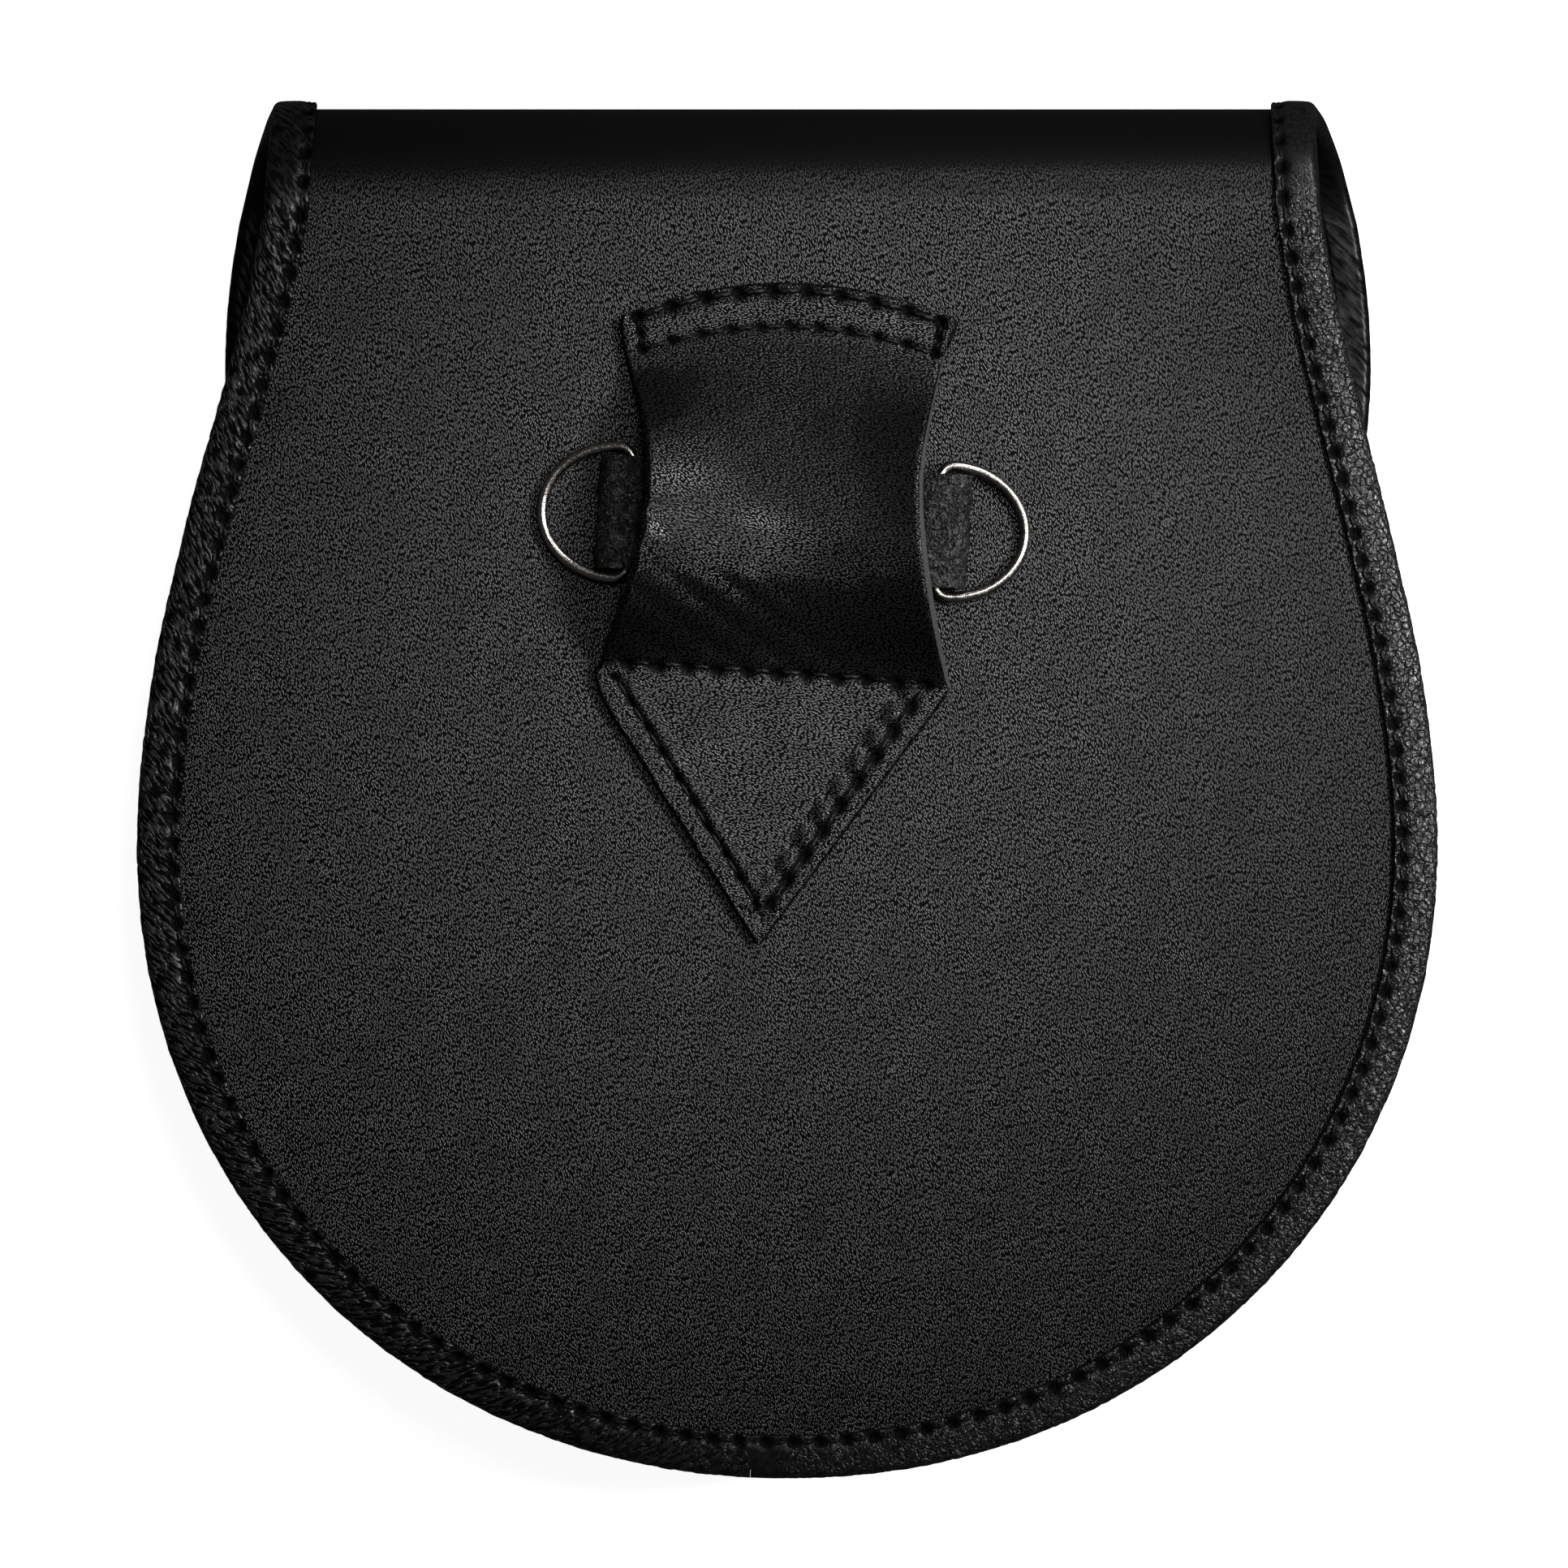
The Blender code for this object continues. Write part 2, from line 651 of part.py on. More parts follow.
def ring_line():
    """The wire's middle line as (out, across): the bar is at out 0, and the bow reaches the ring's depth."""
    straight = RING_HALF_HEIGHT - RING_CORNER
    upper = []
    for i in range(CORNER_STEPS):
        turn = math.pi / 2 * i / CORNER_STEPS
        upper.append((RING_CORNER * (1 - math.cos(turn)), straight + RING_CORNER * math.sin(turn)))
    bow = []
    for i in range(BOW_STEPS + 1):
        turn = math.pi * i / BOW_STEPS
        out = RING_CORNER + (RING_DEPTH - RING_CORNER) * math.sin(turn)
        bow.append((out, RING_HALF_HEIGHT * math.cos(turn)))
    lower = [(out, -across) for out, across in upper[::-1]]
    return [(0.0, 0.0)] + upper + bow + lower


def add_ring(name, side):
    """side is -1 for the left ring and 1 for the right one."""
    origin = along_strap(BAR_REACH * side, 0, BAR_LEVEL)
    bar = (along_strap(0, 1, 0) - along_strap(0, 0, 0)).normalized()
    flat = (along_strap(side, 0, 0) - along_strap(0, 0, 0)).normalized()
    out = flat * math.cos(RING_DIP) - UP * math.sin(RING_DIP)
    line = [origin + out * o + bar * a for o, a in ring_line()]
    across = out.cross(bar).normalized()
    sections = []
    for i, point in enumerate(line):
        run = (line[(i + 1) % len(line)] - line[i - 1]).normalized()
        aside = run.cross(across).normalized()
        turns = [2 * math.pi * k / WIRE_SIDES for k in range(WIRE_SIDES)]
        sections.append([point + (aside * math.cos(t) + across * math.sin(t)) * WIRE_RADIUS for t in turns])
    add_sweep(name, sections, True, STEEL_WIRE, origin)


def build():
    clear_scene()
    rows = [*back_rows(), *fold_rows(), *flap_rows()]
    add_back_and_flap(rows)
    add_binding(rows)
    add_gusset(rows)
    add_front_panel(rows)
    add_flap_stud()
    add_belt_loop()
    add_ring_strap()
    add_ring("ring_left", -1)
    add_ring("ring_right", 1)


build()
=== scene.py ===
import math
from collections import namedtuple
from functools import partial

import bpy
import numpy as np
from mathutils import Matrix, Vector, noise


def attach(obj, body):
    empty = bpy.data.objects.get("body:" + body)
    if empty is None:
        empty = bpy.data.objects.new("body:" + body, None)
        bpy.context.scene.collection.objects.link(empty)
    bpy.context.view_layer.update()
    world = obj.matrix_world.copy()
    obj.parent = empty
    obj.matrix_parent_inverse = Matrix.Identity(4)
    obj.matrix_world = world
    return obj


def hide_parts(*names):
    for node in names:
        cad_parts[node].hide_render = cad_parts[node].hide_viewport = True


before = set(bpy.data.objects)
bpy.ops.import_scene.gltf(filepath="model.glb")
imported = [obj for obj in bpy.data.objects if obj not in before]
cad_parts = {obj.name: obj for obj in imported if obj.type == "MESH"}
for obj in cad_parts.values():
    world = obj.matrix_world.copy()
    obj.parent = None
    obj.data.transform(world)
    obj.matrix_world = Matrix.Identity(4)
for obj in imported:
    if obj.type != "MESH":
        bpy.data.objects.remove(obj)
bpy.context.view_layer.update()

# The back, the fold and the flap are one piece of chrome-tanned cowhide, 2 mm thick and dyed black.
# A heated plate presses its fine grain, which is stretched flat where the leather rolls over the top.
# Sizes are in millimetres. A height is measured from the bottom edge of the finished back.
MM = 0.001
GAP = 0.3
TOTAL_HEIGHT = 221.9
BACK_FACE = 36.0
SHEET_THICK = 2.0
BINDING_THICK = 0.9
BINDING_PROUD = BINDING_THICK + GAP
FLAP_MID = BINDING_PROUD + SHEET_THICK / 2
BACK_MID = BACK_FACE - SHEET_THICK / 2
FOLD_RADIUS = (BACK_MID - FLAP_MID) / 2
FOLD_LEVEL = (BACK_MID + FLAP_MID) / 2
FOLD_HEIGHT = TOTAL_HEIGHT - BINDING_PROUD - SHEET_THICK / 2 - FOLD_RADIUS
WIDEST_HEIGHT = 101.4
WIDEST_HALF = 104.1
BOTTOM_POWER = 2.06
FLAP_RADIUS = 94.5
FLAP_ROUND_HEIGHT = 180.0
Side = namedtuple("Side", "height half_width")
BACK_SIDE = (
    Side(101.4, 104.1),
    Side(127.0, 101.8),
    Side(153.0, 96.2),
    Side(169.0, 92.0),
    Side(188.0, 87.2),
    Side(FOLD_HEIGHT, 84.3),
)
FLAP_SIDE = (
    Side(FLAP_ROUND_HEIGHT, FLAP_RADIUS),
    Side(188.0, 94.2),
    Side(195.0, 93.5),
    Side(FOLD_HEIGHT, 92.2),
)
Turn = namedtuple("Turn", "degrees half_width shift")
FOLD_TURNS = (
    Turn(0.0, 84.3, 0.8),
    Turn(45.0, 84.0, 0.9),
    Turn(90.0, 84.8, 1.2),
    Turn(120.0, 87.2, 1.5),
    Turn(150.0, 90.0, 1.7),
    Turn(180.0, 92.2, 1.8),
)
SHIFT_START_HEIGHT = 150.0
DROOP = 2.6
DROOP_START = 0.45
DROOP_FADE_HEIGHT = 165.0
GRAIN_DEPTH = 0.05
STRETCHED_FROM_Y = 91
STRETCHED_Y = 103
COLUMN_CURVE = math.radians(62)
UP = np.array((0.0, 0.0, 1.0))
Row = namedtuple("Row", "half_width height level normal shift")


def stacked(*parts):
    """Points from their parts, which are spread to one shape."""
    return np.stack(np.broadcast_arrays(*parts), axis=-1)


def place(x, height, level):
    """Points from their heights over the bottom edge and their levels over the floor."""
    return stacked(x, np.asarray(height) - TOTAL_HEIGHT / 2, level)


def ease(value):
    """0 up to 1, level at both ends."""
    value = np.clip(value, 0.0, 1.0)
    return value * value * (3 - 2 * value)


def read_table(rows, by, wanted, at, first_slope=None):
    """One column of a table, smoothly between its rows."""
    rows = sorted(rows, key=lambda row: getattr(row, by))
    xs = np.array([getattr(row, by) for row in rows])
    ys = np.array([getattr(row, wanted) for row in rows])
    steps = np.diff(ys) / np.diff(xs)
    slopes = np.concatenate(([steps[0]], (ys[2:] - ys[:-2]) / (xs[2:] - xs[:-2]), [steps[-1]]))
    if first_slope is not None:
        slopes[0] = first_slope
    at = np.clip(at, xs[0], xs[-1])
    i = np.clip(np.searchsorted(xs, at, side="right") - 1, 0, len(xs) - 2)
    step = xs[i + 1] - xs[i]
    t = (at - xs[i]) / step
    return (
        ys[i] * (1 + 2 * t) * (1 - t) ** 2
        + slopes[i] * step * t * (1 - t) ** 2
        + ys[i + 1] * t * t * (3 - 2 * t)
        + slopes[i + 1] * step * t * t * (t - 1)
    )


def back_half_width(height):
    """Half the leather's width on the back, inside the binding."""
    side = read_table(BACK_SIDE, "height", "half_width", height, first_slope=0.0) - BINDING_PROUD
    down = np.clip((WIDEST_HEIGHT - height) / (WIDEST_HEIGHT - BINDING_PROUD), 0.0, 1.0)
    bottom = (WIDEST_HALF - BINDING_PROUD) * (1 - down**BOTTOM_POWER) ** (1 / BOTTOM_POWER)
    return np.where(height >= WIDEST_HEIGHT, side, bottom)


def share_out(x, height):
    """0 at the middle of the back and 1 at the leather's edge."""
    down = np.maximum(0.0, (WIDEST_HEIGHT - height) / (WIDEST_HEIGHT - BINDING_PROUD))
    across = np.abs(x) / (WIDEST_HALF - BINDING_PROUD)
    low = (down**BOTTOM_POWER + across**BOTTOM_POWER) ** (1 / BOTTOM_POWER)
    high = np.abs(x) / np.maximum(back_half_width(np.maximum(height, WIDEST_HEIGHT)), GAP)
    return np.where(height >= WIDEST_HEIGHT, high, low)


def droop(x, height):
    """How far the back sinks towards its bound edge."""
    near = np.clip((share_out(x, height) - DROOP_START) / (1 - DROOP_START), 0.0, 1.0)
    fade = 1 - ease((height - DROOP_FADE_HEIGHT) / (FOLD_HEIGHT - DROOP_FADE_HEIGHT))
    return DROOP * near**2 * fade


def back_shift(height):
    return FOLD_TURNS[0].shift * ease((height - SHIFT_START_HEIGHT) / (FOLD_HEIGHT - SHIFT_START_HEIGHT))


def back_row(height, half_width=None):
    half_width = back_half_width(height) if half_width is None else half_width
    return Row(half_width, height, BACK_MID, UP, back_shift(height))


def sheet_rows(bottom, side, fold, flap_side, flap_round):
    """Rows from the middle of the back's bottom edge, over the fold, to the middle of the flap's end."""
    rows = []
    widest = WIDEST_HALF - BINDING_PROUD
    for turn in np.linspace(0, math.pi / 2, bottom, endpoint=False):
        down = math.cos(turn) ** (2 / BOTTOM_POWER)
        height = WIDEST_HEIGHT - (WIDEST_HEIGHT - BINDING_PROUD) * down
        rows.append(back_row(height, widest * math.sin(turn) ** (2 / BOTTOM_POWER)))
    rows += [back_row(h) for h in np.linspace(WIDEST_HEIGHT, FOLD_HEIGHT, side, endpoint=False)]
    for turn in np.linspace(0, math.pi, fold, endpoint=False):
        normal = np.array((0.0, math.sin(turn), math.cos(turn)))
        half_width = read_table(FOLD_TURNS, "degrees", "half_width", math.degrees(turn)) - BINDING_PROUD
        shift = read_table(FOLD_TURNS, "degrees", "shift", math.degrees(turn))
        height, level = FOLD_HEIGHT + FOLD_RADIUS * normal[1], FOLD_LEVEL + FOLD_RADIUS * normal[2]
        rows.append(Row(half_width, height, level, normal, shift))
    shift = FOLD_TURNS[-1].shift
    for height in np.linspace(FOLD_HEIGHT, FLAP_ROUND_HEIGHT, flap_side, endpoint=False):
        half_width = read_table(FLAP_SIDE, "height", "half_width", height, first_slope=0.0) - BINDING_PROUD
        rows.append(Row(half_width, height, FLAP_MID, -UP, shift))
    radius = FLAP_RADIUS - BINDING_PROUD
    for turn in np.linspace(0, math.pi / 2, flap_round + 1):
        height = FLAP_ROUND_HEIGHT - radius * math.sin(turn)
        rows.append(Row(radius * math.cos(turn), height, FLAP_MID, -UP, shift))
    return rows


def on_sheet(row, x):
    """Points of the leather's middle layer."""
    sunk = droop(x, row.height) if row.normal is UP else np.zeros_like(x)
    return place(x + row.shift, row.height, row.level) - np.multiply.outer(sunk, row.normal)


def grid_faces(rows, columns, start=0, across=1, along=None):
    """The quads of a grid of points that are numbered from start, with a stride for each direction."""
    along = columns if along is None else along
    corner = start + np.add.outer(np.arange(rows - 1) * along, np.arange(columns - 1) * across).ravel()
    return np.stack([corner, corner + across, corner + across + along, corner + along], axis=1)


def add_object(name, data):
    """An object of the scene, from its mesh, light or camera."""
    item = bpy.data.objects.new(name, data)
    bpy.context.scene.collection.objects.link(item)
    return item


def add_mesh(name, points, faces, material, body, sharp_degrees=50):
    """A smooth mesh object from points in millimetres that rides on a body of the frame."""
    mesh = bpy.data.meshes.new(name)
    mesh.from_pydata((np.reshape(points, (-1, 3)) * MM).tolist(), [], [list(face) for face in faces])
    mesh.validate()
    mesh.materials.append(material)
    mesh.shade_smooth()
    mesh.set_sharp_from_angle(angle=math.radians(sharp_degrees))
    item = add_object(name, mesh)
    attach(item, body)
    return item


def add_wall(name, one_side, other_side, material, sharp_degrees=50):
    """A wall of the pouch between two grids of points that have the same rows and columns."""
    rows, columns = np.shape(one_side)[:2]
    half = rows * columns
    faces = np.concatenate([
        grid_faces(rows, columns),
        grid_faces(rows, columns, half)[:, ::-1],
        grid_faces(2, columns, 0, 1, half)[:, ::-1],
        grid_faces(2, columns, half - columns, 1, half),
        grid_faces(2, rows, 0, columns, half),
        grid_faces(2, rows, columns - 1, columns, half)[:, ::-1],
    ])
    return add_mesh(name, np.concatenate([one_side, other_side]), faces, material, "pouch", sharp_degrees)


def linear(code):
    """An sRGB hex colour as linear red, green, blue and alpha."""
    parts = [int(code[i:i + 2], 16) / 255 for i in (1, 3, 5)]
    return tuple(p / 12.92 if p <= 0.04045 else ((p + 0.055) / 1.055) ** 2.4 for p in parts) + (1.0,)


def fill_inputs(node, inputs):
    """Sets or links a node's inputs. A hex code stands for a colour, and a node for its first output."""
    for name, value in inputs.items():
        if isinstance(value, str):
            value = linear(value)
        if isinstance(value, bpy.types.Node):
            value = value.outputs[0]
        if isinstance(value, bpy.types.NodeSocket):
            node.id_data.links.new(value, node.inputs[name])
        else:
            node.inputs[name].default_value = value


def add_node(tree, kind, inputs, **settings):
    """A node with its settings, and each of its inputs set or linked."""
    made = tree.nodes.new("ShaderNode" + kind)
    for name, value in settings.items():
        setattr(made, name, value)
    fill_inputs(made, inputs)
    return made


def new_material(name):
    """A material, its Principled shader, and add_node for its own nodes."""
    material = bpy.data.materials.new(name)
    material.use_nodes = True
    tree = material.node_tree
    return material, tree.nodes["Principled BSDF"], partial(add_node, tree)


def pushed_about(add, at, size_mm, detail, push_mm):
    """Coordinates that wander to and fro, so that a pattern laid on them isn't regular."""
    wander = add("TexNoise", {"Vector": at, "Scale": 1 / (size_mm * MM), "Detail": detail})
    centred = add("VectorMath", {0: wander.outputs["Color"], 1: (0.5,) * 3}, operation="SUBTRACT")
    return add("VectorMath", {0: centred, 1: (push_mm * MM,) * 3, 2: at}, operation="MULTIPLY_ADD")


def finish_leather(add, shader, shade, bump, glaze, roughness, hole_reach):
    """Lays a glaze over dyed leather. Painted shade makes the needle's holes near black, and no glaze is left
    in them.
    """
    hole = add("Attribute", {}, attribute_name="hole").outputs["Fac"]
    # Painted shade: the colour goes to near black in the needle's holes
    sunk = add("Mix", {0: hole, 6: shade.outputs[2], 7: "#020202"}, data_type="RGBA")
    glazed = add("MapRange", {"Value": hole, "From Max": hole_reach, "To Min": glaze, "To Max": 0.0})
    fill_inputs(shader, {
        "Base Color": sunk.outputs[2], "Normal": bump, "Roughness": 0.6, "Specular IOR Level": 0.05,
        "Coat Weight": glazed, "Coat Normal": bump, "Coat Roughness": roughness, "Coat IOR": 1.6, "IOR": 1.5,
    })


def grained_leather(name, colours, roughness, grain, turn_degrees, smooth_over=True):
    """Dyed leather, pressed with pebbles of a width and length in millimetres, with painted shade in their
    hollows.
    """
    material, shader, add = new_material(name)
    at = add("TexCoord", {}).outputs["Object"]
    width, length = (size * MM for size in grain)
    laid = add("Mapping", {
        "Vector": pushed_about(add, at, 9, 1.0, 1.6),
        "Rotation": (0, 0, math.radians(turn_degrees)), "Scale": (width, length, width),
    }, vector_type="TEXTURE")
    cells = add("TexVoronoi", {"Vector": laid, "Scale": 1.0, "Randomness": 0.95}, voronoi_dimensions="2D")
    height = add("MapRange", {
        "Value": cells, "From Min": 0.12, "From Max": 0.58, "To Min": 1.0, "To Max": 0.0,
    }, interpolation_type="SMOOTHSTEP")
    strength, glaze = 1.0, height
    shade = add("Mix", {0: height, 6: colours[0], 7: colours[1]}, data_type="RGBA")
    if smooth_over:
        strength = add("MapRange", {
            "Value": add("SeparateXYZ", {0: at}).outputs["Y"],
            "From Min": STRETCHED_FROM_Y * MM, "From Max": STRETCHED_Y * MM, "To Min": 1.0, "To Max": 0.0,
        }, interpolation_type="SMOOTHSTEP")
        # Where the grain is stretched flat over the fold, the colour is an even near black, darker than the
        # grain: painted shade
        shade = add("Mix", {0: strength, 6: "#080808", 7: shade.outputs[2]}, data_type="RGBA")
        glaze = add("Mix", {0: strength, 2: 0.18, 3: height})
    bump = add("Bump", {"Height": height, "Strength": strength, "Distance": GRAIN_DEPTH * MM})
    finish_leather(add, shader, shade, bump, glaze, roughness, hole_reach=0.5)
    return material


# The pressed grain's hollows are darker than its rubbed tops: partly black pigment, partly painted shade.
# The glaze shines on those tops only, and is thin where the grain is stretched flat.
plate_grained = grained_leather(
    "plate_grained_cowhide", ("#010101", "#191919"), roughness=0.30, grain=(0.25, 0.60), turn_degrees=18
)
rows = sheet_rows(bottom=54, side=40, fold=44, flap_side=8, flap_round=40)
shares = np.sin(np.linspace(-1, 1, 97) * COLUMN_CURVE) / math.sin(COLUMN_CURVE)
outer = [on_sheet(r, r.half_width * shares) + r.normal * SHEET_THICK / 2 for r in rows]
inner = [on_sheet(r, r.half_width * shares) - r.normal * SHEET_THICK / 2 for r in rows]
sheet = add_wall("rolled_back_and_flap", outer, inner, plate_grained)
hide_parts("back_and_flap")

# The binding is a strip of soft, glazed goatskin, folded over the whole edge and sewn through.
# Its grain bunches into creases as it goes round, and its two ends meet at the bottom of the back.
BINDING_WIDTH = 7.2
BINDING_INNER_WIDTH = 5.8
BINDING_JOINT_X = -5.8
BINDING_ROUND = 1.3
FLANGE_ROOM = 1.5
FLANGE_ROOM_END = 192.0
FLANGE_ROOM_GONE = 201.0
STITCH_PITCH = 4.5
STITCH_IN = 6.0
STEPS_PER_STITCH = 10
STITCH_CHANNEL = 0.20
STITCH_PIT = 0.55
SMOOTH_FROM_Y = 86
SMOOTH_REACH = 11
JOINT_SMOOTH = 3.5
JOINT_REACH = 3
FOLD_SLANT = (0.74, 0.67)
END_LAP = 0.2
END_GAP = 0.03
Edge = namedtuple("Edge", "point out normal height")


def unit(vectors):
    return vectors / np.linalg.norm(vectors, axis=-1, keepdims=True)


def edge_side(rows, side):
    """The leather's edge on one side, from the middle of the back's bottom to the middle of the flap's."""
    points = np.array([on_sheet(row, row.half_width * side) for row in rows])
    mirrored = [on_sheet(rows[k], -rows[k].half_width * side) for k in (1, -2)]
    padded = np.concatenate([mirrored[:1], points, mirrored[1:]])
    alongs = unit(padded[2:] - padded[:-2])
    normals = []
    for row, point, along in zip(rows, points, alongs):
        normal = row.normal
        if row.normal is UP:
            x = row.half_width * side
            inward = unit(np.array((-x, max(0.0, WIDEST_HEIGHT - row.height)))) * BINDING_WIDTH
            inner_point = on_sheet(row._replace(height=row.height + inward[1]), x + inward[0])
            normal = unit(np.cross(point - inner_point, along)) * side
        normals.append(normal)
    normals = np.array(normals)
    heights = np.array([row.height for row in rows])
    return Edge(points, unit(np.cross(alongs, normals)) * side, normals, heights)


def travel(points):
    """How far along a line each of its points lies."""
    return np.concatenate([[0.0], np.cumsum(np.linalg.norm(np.diff(points, axis=0), axis=1))])


def spread_along(places, travelled, values):
    """Values along a line at other places on it."""
    columns = values.reshape(len(values), -1).T
    return np.stack([np.interp(places, travelled, column) for column in columns], axis=-1)


def edge_loop(rows, step):
    """The edge as even steps from the joint, up the right side, round the flap and down the left side."""
    right, left = edge_side(rows, 1), edge_side(rows, -1)
    whole = [np.concatenate([r, l[-2:0:-1]]) for r, l in zip(right, left)]
    joint = place(BINDING_JOINT_X, 0.0, BACK_MID)
    start = int(np.argmin(np.linalg.norm(whole[0] - joint, axis=1)))
    whole = [np.concatenate([w[start:], w[:start + 1]]) for w in whole]
    travelled = travel(whole[0])
    count = round(travelled[-1] / step / STEPS_PER_STITCH) * STEPS_PER_STITCH
    places = np.linspace(0, travelled[-1], count + 1)
    even = [spread_along(places, travelled, w) for w in whole]
    return Edge(even[0], unit(even[1]), unit(even[2]), even[3][:, 0]), places


def bumps(points, *sizes):
    """Smooth noise from -1 to 1 over points in millimetres, with bumps of given sizes along X, Y and Z."""
    flat = np.reshape(points, (-1, 3)) / np.array(sizes if len(sizes) == 3 else sizes * 3)
    return np.array([noise.noise(Vector(p)) for p in flat]).reshape(np.shape(points)[:-1])


Outline = namedtuple("Outline", "out level room push_out push_up wrinkled")
FACE = SHEET_THICK / 2 + GAP
TOP = FACE + BINDING_THICK
LEG_END, INNER_END = BINDING_PROUD - BINDING_WIDTH, BINDING_PROUD - BINDING_INNER_WIDTH
BEND = BINDING_PROUD - BINDING_ROUND
SLOT = BINDING_PROUD - BINDING_THICK


def binding_outline():
    """The folded strip: its outer leg, its round edge, its inner leg and the slot that the leather fills."""
    points = [
        Outline(LEG_END, FACE, 0, 0, 0, 0),
        Outline(LEG_END, TOP - 0.5, 0, 0, 0, 0),
        Outline(LEG_END + 0.12, TOP - 0.16, 0, 0, 0.4, 0.5),
        Outline(LEG_END + 0.4, TOP, 0, 0, 1, 1),
    ]
    points += [Outline(o, TOP, 0, 0, 1, 1) for o in np.linspace(LEG_END + 0.8, BEND - 0.25, 12)]
    for turn in np.radians((90, 68, 45, 22, 0)):
        out, up = math.cos(turn), math.sin(turn)
        points.append(Outline(BEND + BINDING_ROUND * out, TOP - BINDING_ROUND * (1 - up), 0, out, up, 0.8))
    points.append(Outline(BINDING_PROUD, 0.0, 0.5, 1, 0, 0.6))
    for turn in np.radians((0, 30, 60, 90)):
        out, up = math.cos(turn), math.sin(turn)
        level = BINDING_ROUND * (1 - up) - TOP
        points.append(Outline(BEND + BINDING_ROUND * out, level, 1, out, -up, 0.3 * out))
    points += [Outline(o, -TOP, 1, 0, -1, 0) for o in np.linspace(BEND - 0.6, INNER_END + 0.3, 7)]
    points += [
        Outline(INNER_END, -TOP + 0.3, 1, 0, 0, 0),
        Outline(INNER_END, -FACE, 1, 0, 0, 0),
        Outline(SLOT, -FACE, 1, 0, 0, 0),
        Outline(SLOT, FACE, 0, 0, 0, 0),
    ]
    return Outline(*(np.array(column) for column in zip(*points)))


edge, travelled = edge_loop(
    sheet_rows(bottom=60, side=44, fold=40, flap_side=10, flap_round=60), STITCH_PITCH / STEPS_PER_STITCH
)
outline = binding_outline()
pitch = travelled[-1] / round(travelled[-1] / STITCH_PITCH)
is_back = (edge.normal[:, 2] > 0) & (edge.height < FLANGE_ROOM_GONE)
is_flap = edge.normal[:, 2] < -0.5
room_left = ease((FLANGE_ROOM_GONE - edge.height) / (FLANGE_ROOM_GONE - FLANGE_ROOM_END))
room = np.where(is_back, FLANGE_ROOM * room_left, 0)
smooth_top = ease((edge.point[:, 1] - SMOOTH_FROM_Y) / SMOOTH_REACH)
smooth_start = 1 - ease((travelled - JOINT_SMOOTH) / JOINT_REACH)
fresh = np.maximum(smooth_top, smooth_start)[:, None]
stitch_out = BINDING_PROUD - STITCH_IN
to_hole = np.abs((travelled[:, None] / pitch) % 1 - 0.5) * pitch
off_line = outline.out[None, :] - stitch_out
on_leg = (outline.push_up > 0) & (outline.out < BEND)
channel = STITCH_CHANNEL * np.exp(-((off_line / 0.6) ** 2))
pit = np.exp(-((off_line / 0.85) ** 4 + (to_hole / 0.95) ** 4)) * on_leg
along, slant = travelled[:, None], FOLD_SLANT
along_across = stacked(
    along * slant[0] + outline.out * slant[1], outline.out * slant[0] - along * slant[1], outline.level
)
folds = bumps(along_across, 1.3, 2.8, 3.0)
fine_folds = bumps(along_across + 40, 0.8, 1.2, 2.0)
crease = np.clip(1 - np.abs(folds) / 0.14, 0, 1)
puff = 0.16 * (1 - np.clip((outline.out - (stitch_out + BEND) / 2) / 3.0, -1, 1) ** 2)
relief = (0.12 * folds + 0.08 * fine_folds - 0.12 * crease) * outline.wrinkled * (1 - fresh)
relief = relief + puff * (outline.push_up > 0) - (channel + STITCH_PIT * pit) * on_leg
end_rise = END_LAP * ease((travelled - travelled[-1] + 2.5) / 1.5)
relief = relief + end_rise[:, None] * np.maximum(0, outline.push_up) ** 2
relief = np.where(is_flap[:, None], np.minimum(relief, 0.1), relief)
outs = outline.out + relief * outline.push_out
levels = outline.level - room[:, None] * outline.room + relief * outline.push_up
travel_gap = np.zeros_like(edge.point)
travel_gap[-1] = unit(edge.point[-2] - edge.point[-1]) * END_GAP
strip = (
    (edge.point + travel_gap)[:, None]
    + edge.out[:, None] * outs[..., None]
    + edge.normal[:, None] * levels[..., None]
)
strip[..., 2] = np.maximum(strip[..., 2], 0.0)


def sweep_faces(count, sides, closed=False):
    """The quads round a tube of sections. Its ends are joined if it is closed, and capped if not."""
    beyond = count * sides
    starts = np.arange(count if closed else count - 1) * sides
    here = np.add.outer(starts, np.arange(sides))
    after = np.add.outer(starts, (np.arange(sides) + 1) % sides)
    quads = np.stack([here, after, (after + sides) % beyond, (here + sides) % beyond], axis=-1)
    caps = [] if closed else [list(range(sides))[::-1], list(range(beyond - sides, beyond))]
    return quads.reshape(-1, 4).tolist() + caps


def add_values(item, name, values, kind="FLOAT", field="value"):
    """Values of the points that the item's material reads."""
    layer = item.data.attributes.new(name, kind, "POINT")
    layer.data.foreach_set(field, np.ravel(values).astype(np.float32))


def finish_goatskin(add, shader, height, strength, depth_mm, colours, roughness):
    """Dyed skin over a relief of height 0 to 1, with painted shade in its hollows. The glaze is on its tops,
    and thin where it is flat.
    """
    bump = add("Bump", {"Height": height, "Strength": strength, "Distance": depth_mm * MM})
    shade = add("Mix", {0: height, 6: colours[0], 7: colours[1]}, data_type="RGBA")
    glaze = add("Mix", {0: strength, 2: 0.28, 3: height})
    finish_leather(add, shader, shade, bump, glaze, roughness, hole_reach=0.4)


